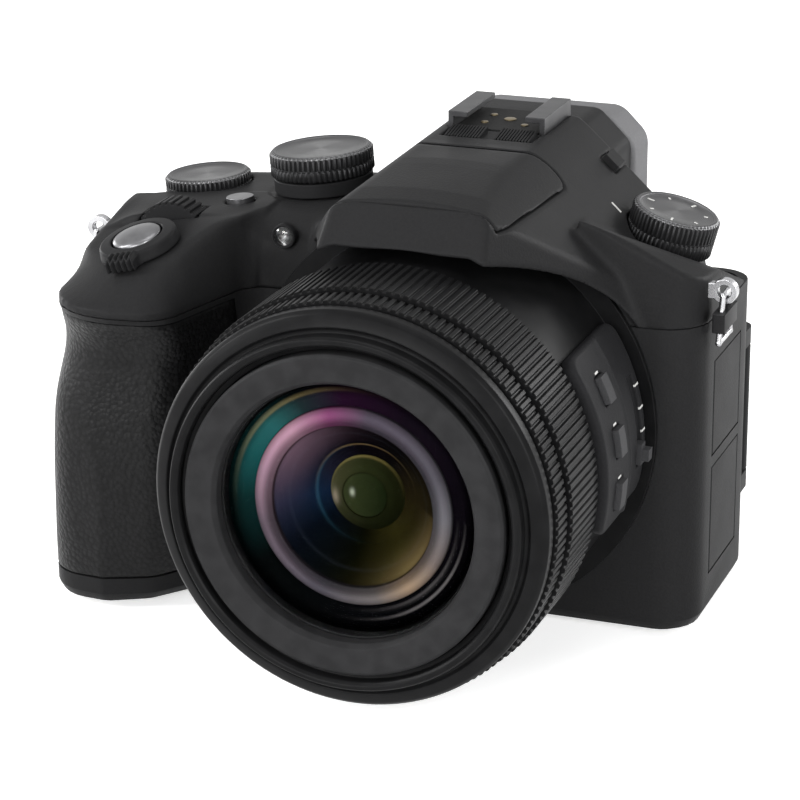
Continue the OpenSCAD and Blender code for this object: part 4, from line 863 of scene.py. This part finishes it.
def side_pad():
    """The raised pad on the lens with seats for three buttons and the slot of the filter slider."""
    def pad(p):
        x, y, z = p
        r = np.hypot(x, z - LENS_Z)
        arc = PAD_R * np.arctan2(z - LENS_Z, x)
        a, b = (PAD_R * math.radians(t) for t in PAD_TURN)
        qy = np.abs(y - sum(PAD_Y) / 2) - (PAD_Y[1] - PAD_Y[0]) / 2 + PAD_CORNER
        qa = np.abs(arc - (a + b) / 2) - (b - a) / 2 + PAD_CORNER
        d = np.hypot(np.maximum(qy, 0), np.maximum(qa, 0)) + np.minimum(np.maximum(qy, qa), 0) - PAD_CORNER
        step = np.clip((y - PAD_STEP_Y) / 1.5, 0, 1)
        rim = 0.35 * np.exp(-((y + 36.5) / 0.8) ** 2)
        top = PAD_R - 0.35 - 0.75 * step * step * (3 - 2 * step) + rim
        d = smax(smax(d, r - top, 1.2), 39.7 - r, 0.2)
        for turn in BUTTON_TURNS:
            seat = np.maximum(np.abs(y - BUTTON_Y) - 2.15, np.abs(arc - PAD_R * math.radians(turn)) - 3.1)
            d = smax(d, -np.maximum(seat, PAD_R - 2.6 - r), 0.3)
        lo, hi = (PAD_R * math.radians(t) for t in SLOT_TURN)
        slot = np.maximum(np.abs(y - SLOT_Y) - 1.65, np.maximum(lo - arc, arc - hi))
        return smax(d, -np.maximum(slot, PAD_R - 2.2 - r), 0.3)

    v, q = solid(pad, (28, -53, 31), (44, -22, 71), 0.4)
    piece("side_pad", v, q, [SLOTS["side_panel"]], BODY, ["lens_panel"], sharp=0)
    strokes = []
    for k in range(4):
        strokes.append((SLOT_TURN[0] + 3 + k * 6.5, SLOT_Y + 2.6, 1.1))
    for turn in BUTTON_TURNS:
        strokes.append((turn + 4.8, BUTTON_Y - 0.2, 0.9))
    verts, faces = [], []
    for turn, y, half in strokes:
        radius = PAD_R - 0.35 if y < PAD_STEP_Y else PAD_R - 1.1
        k = len(verts)
        for dr in (-0.3, 0.03):
            for da, dy in ((-0.22, -half), (-0.22, half), (0.22, half), (0.22, -half)):
                t = math.radians(turn) + da / PAD_R
                verts.append(((radius + dr) * math.cos(t), y + dy, LENS_Z + (radius + dr) * math.sin(t)))
        faces += [tuple(k + i for i in q) for q in ((0, 1, 2, 3), (7, 6, 5, 4), (0, 4, 5, 1), (1, 5, 6, 2),
                                                  (2, 6, 7, 3), (3, 7, 4, 0))]
    piece("pad_marks", verts, faces, [MARK])


def shoe_contacts():
    """The insulating plate in the accessory shoe with its round contacts."""
    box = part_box("shoe_contacts")
    (x0, y0, z0), (x1, y1, z1) = ([c / MM for c in corner] for corner in box)
    plate = z0 + (z1 - z0) * 0.7
    v, f = bars([(x0, x1, y0, y1, z0, plate, plate)])
    v, index = list(v), [0] * len(f)
    for x, y, r in ((0, 8.9, 1.3), (-4.4, 5.1, 0.8), (4.4, 5.1, 0.8), (-4.4, 11.5, 0.8)):
        stud = [(0.01, plate - 0.1), (r, plate - 0.1), (r, z1 - 0.05), (r - 0.1, z1), (0.01, z1)]
        ring, quads = lathe(stud, 32)
        f += [tuple(i + len(v) for i in q) for q in quads]
        v += [(c[0] + x, c[1] + y0 + y, c[2]) for c in ring]
        index += [1] * len(quads)
    mats = [SLOTS["inner_black"], SLOTS["contact_gold"]]
    piece("shoe_plate", v, f, mats, BODY, ["shoe_contacts"], index=index)


def sleeves():
    """Dark sleeves on the strap rings, round both wires below the lugs."""
    for side in ("right", "left"):
        body = "strap_ring_" + side
        (x0, y0, z0), (x1, y1, z1) = ([c / MM for c in corner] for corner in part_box(body))
        xm, ym = (x0 + x1) / 2, (y0 + y1) / 2
        high, low = z1 - 3.6, z1 - 7.4
        thick, wide, corner = 1.3, (y1 - y0) / 2 + 0.3, 0.6
        ring = rounded([(xm + sx * thick, ym + sy * wide, corner)
                        for sx, sy in ((-1, -1), (1, -1), (1, 1), (-1, 1))], 4)
        m = len(ring)
        verts = [(x, y, z) for z in (low, high) for x, y in ring]
        faces = [(i, (i + 1) % m, m + (i + 1) % m, m + i) for i in range(m)]
        faces += [list(range(m))[::-1], [m + i for i in range(m)]]
        piece("strap_sleeve_" + side, verts, faces, [SLOTS["control_black"]], body)


def index_mark():
    """White index stroke on the slope beside the drive dial."""
    slope = Matrix.Rotation(math.atan2(17, 18.3), 4, "Y")
    v, f = bars([(-1.4, 1.4, -0.3, 0.3, -0.2, 0.04, 0.04)])
    piece("drive_index", v, f, [MARK], axes=slope, at=(27.0, 4.1, 83.25))


def microphones():
    """Two groups of fine ribs in front of the accessory shoe."""
    boxes = [(-9.7, 9.7, 0.1, 6.3, 94.9, 95.9, 96.4)]
    count, pitch = 12, 0.65
    for side in (-1, 1):
        for k in range(count):
            x = side * 5.4 + (k - (count - 1) / 2) * pitch
            boxes.append((x - 0.2, x + 0.2, 0.4, 6.2, 95.6, 96.45, 97.4))
    v, f = bars(boxes)
    piece("microphone_ribs", v, f, [SLOTS["body_plastic"]])


def dress():
    """Finish every CAD node that stays: its slot's material, soft edges and smooth faces."""
    bevels = {"eyecup": 0.9, "front_cover": 0.3, "rear_cover": 0.6, "base_cover": 0.5, "monitor_frame": 0.7,
              "power_lever": 0.3, "lens_barrel": 0.3}
    darker = {"monitor_hinge": "control_black"}
    for part in frame["record"]["subparts"]:
        node = part["node"]
        obj = NODES[node]
        mesh = obj.data
        mesh.materials.clear()
        mesh.materials.append(SLOTS[darker.get(node, part["material_slot"])])
        if "custom_normal" in mesh.attributes:
            mesh.attributes.remove(mesh.attributes["custom_normal"])
        mesh.polygons.foreach_set("use_smooth", np.ones(len(mesh.polygons), bool))
        weld = obj.modifiers.new("weld", "WELD")
        weld.merge_threshold = 2e-6
        flat = obj.modifiers.new("flat", "DECIMATE")
        flat.decimate_type = "DISSOLVE"
        flat.angle_limit = math.radians(0.6)
        edge = obj.modifiers.new("edge", "BEVEL")
        edge.width = bevels.get(node, 0.15) * MM
        edge.segments = 2
        edge.limit_method = "ANGLE"
        edge.angle_limit = math.radians(38)
        edge.harden_normals = True


def camera():
    """The camera fitted to the photograph: its angles, the point it looks at, and its focal length."""
    az, el, roll = math.radians(20.38), math.radians(19.59), math.radians(-0.31)
    target, distance = Vector((-19.08, 0, 37.20)), 659.79
    focal_px, image_px = 3085.33, 800
    right = Vector((math.cos(az), math.sin(az), 0))
    fwd = Vector((-math.sin(az) * math.cos(el), math.cos(az) * math.cos(el), -math.sin(el)))
    up = right.cross(fwd)
    side = right * math.cos(roll) + up * math.sin(roll)
    head = up * math.cos(roll) - right * math.sin(roll)
    pos = target * MM - fwd * distance * MM
    data = bpy.data.cameras.new("camera")
    data.sensor_width = 36
    data.lens = data.sensor_width * focal_px / image_px
    data.clip_start = 0.01
    obj = bpy.data.objects.new("camera", data)
    obj.matrix_world = Matrix(((side.x, head.x, -fwd.x, pos.x), (side.y, head.y, -fwd.y, pos.y),
                               (side.z, head.z, -fwd.z, pos.z), (0, 0, 0, 1)))
    scene.collection.objects.link(obj)
    scene.camera = obj


def lamp(name, pos, size, power):
    data = bpy.data.lights.new(name, "AREA")
    data.shape = "RECTANGLE"
    data.size, data.size_y = size
    data.energy = power
    obj = bpy.data.objects.new(name, data)
    obj.location = pos
    obj.rotation_euler = (Vector((0, 0, 0.05)) - Vector(pos)).to_track_quat("-Z", "Y").to_euler()
    scene.collection.objects.link(obj)


def seen(tree):
    """1 for what the camera sees directly, in a mirror or through glass, else 0."""
    path = tree.nodes.new("ShaderNodeLightPath")
    out = path.outputs["Is Camera Ray"]
    for name in ("Is Glossy Ray", "Is Transmission Ray"):
        most = tree.nodes.new("ShaderNodeMath")
        most.operation = "MAXIMUM"
        tree.links.new(out, most.inputs[0])
        tree.links.new(path.outputs[name], most.inputs[1])
        out = most.outputs[0]
    return out


def stage():
    """White world and floor as seen by the camera, softer light on the object, six soft boxes."""
    world = bpy.data.worlds.new("world")
    scene.world = world
    world.use_nodes = True
    t = world.node_tree
    level = spread(t, seen(t), 0.1, 1.0)
    t.nodes["Background"].inputs["Color"].default_value = (1, 1, 1, 1)
    t.links.new(level, t.nodes["Background"].inputs["Strength"])
    half, z = 0.8, -0.0003
    mesh = bpy.data.meshes.new("floor")
    corners = [(-half, -half, z), (half, -half, z), (half, half, z), (-half, half, z)]
    mesh.from_pydata(corners, [], [(0, 1, 2, 3)])
    floor = bpy.data.objects.new("floor", mesh)
    scene.collection.objects.link(floor)
    mat, tree, main = shader("floor", Roughness=0.9, Specular_IOR_Level=0.1, Emission_Color=(1.0, 1.0, 1.0))
    grey = ramp(tree, noise(tree, 60, 2), (0.3, (0.84,) * 3), (0.7, (0.87,) * 3))
    tree.links.new(grey, main.inputs["Base Color"])
    tree.links.new(spread(tree, seen(tree), 0.0, 0.6), main.inputs["Emission Strength"])
    mesh.materials.append(mat)
    lamp("key", (-0.85, -0.4, 0.55), (0.35, 0.7), 11)
    lamp("top", (0.05, 0.1, 1.1), (0.8, 0.5), 3.5)
    lamp("side", (0.85, -0.75, 0.45), (0.3, 0.8), 11)
    lamp("front", (-0.2, -1.15, 0.4), (0.8, 0.3), 10)
    lamp("rim", (-0.75, 0.35, 0.15), (0.2, 0.3), 1.6)
    lamp("back", (0.7, 0.85, 0.4), (0.5, 0.4), 8)


camera()
stage()
dress()
covers()
grip()
front_rings()
front_glass()
dials()
microphones()
shutter()
lamp_window()
side_pad()
shoe_contacts()
sleeves()
index_mark()
scene.view_settings.view_transform = "Standard"
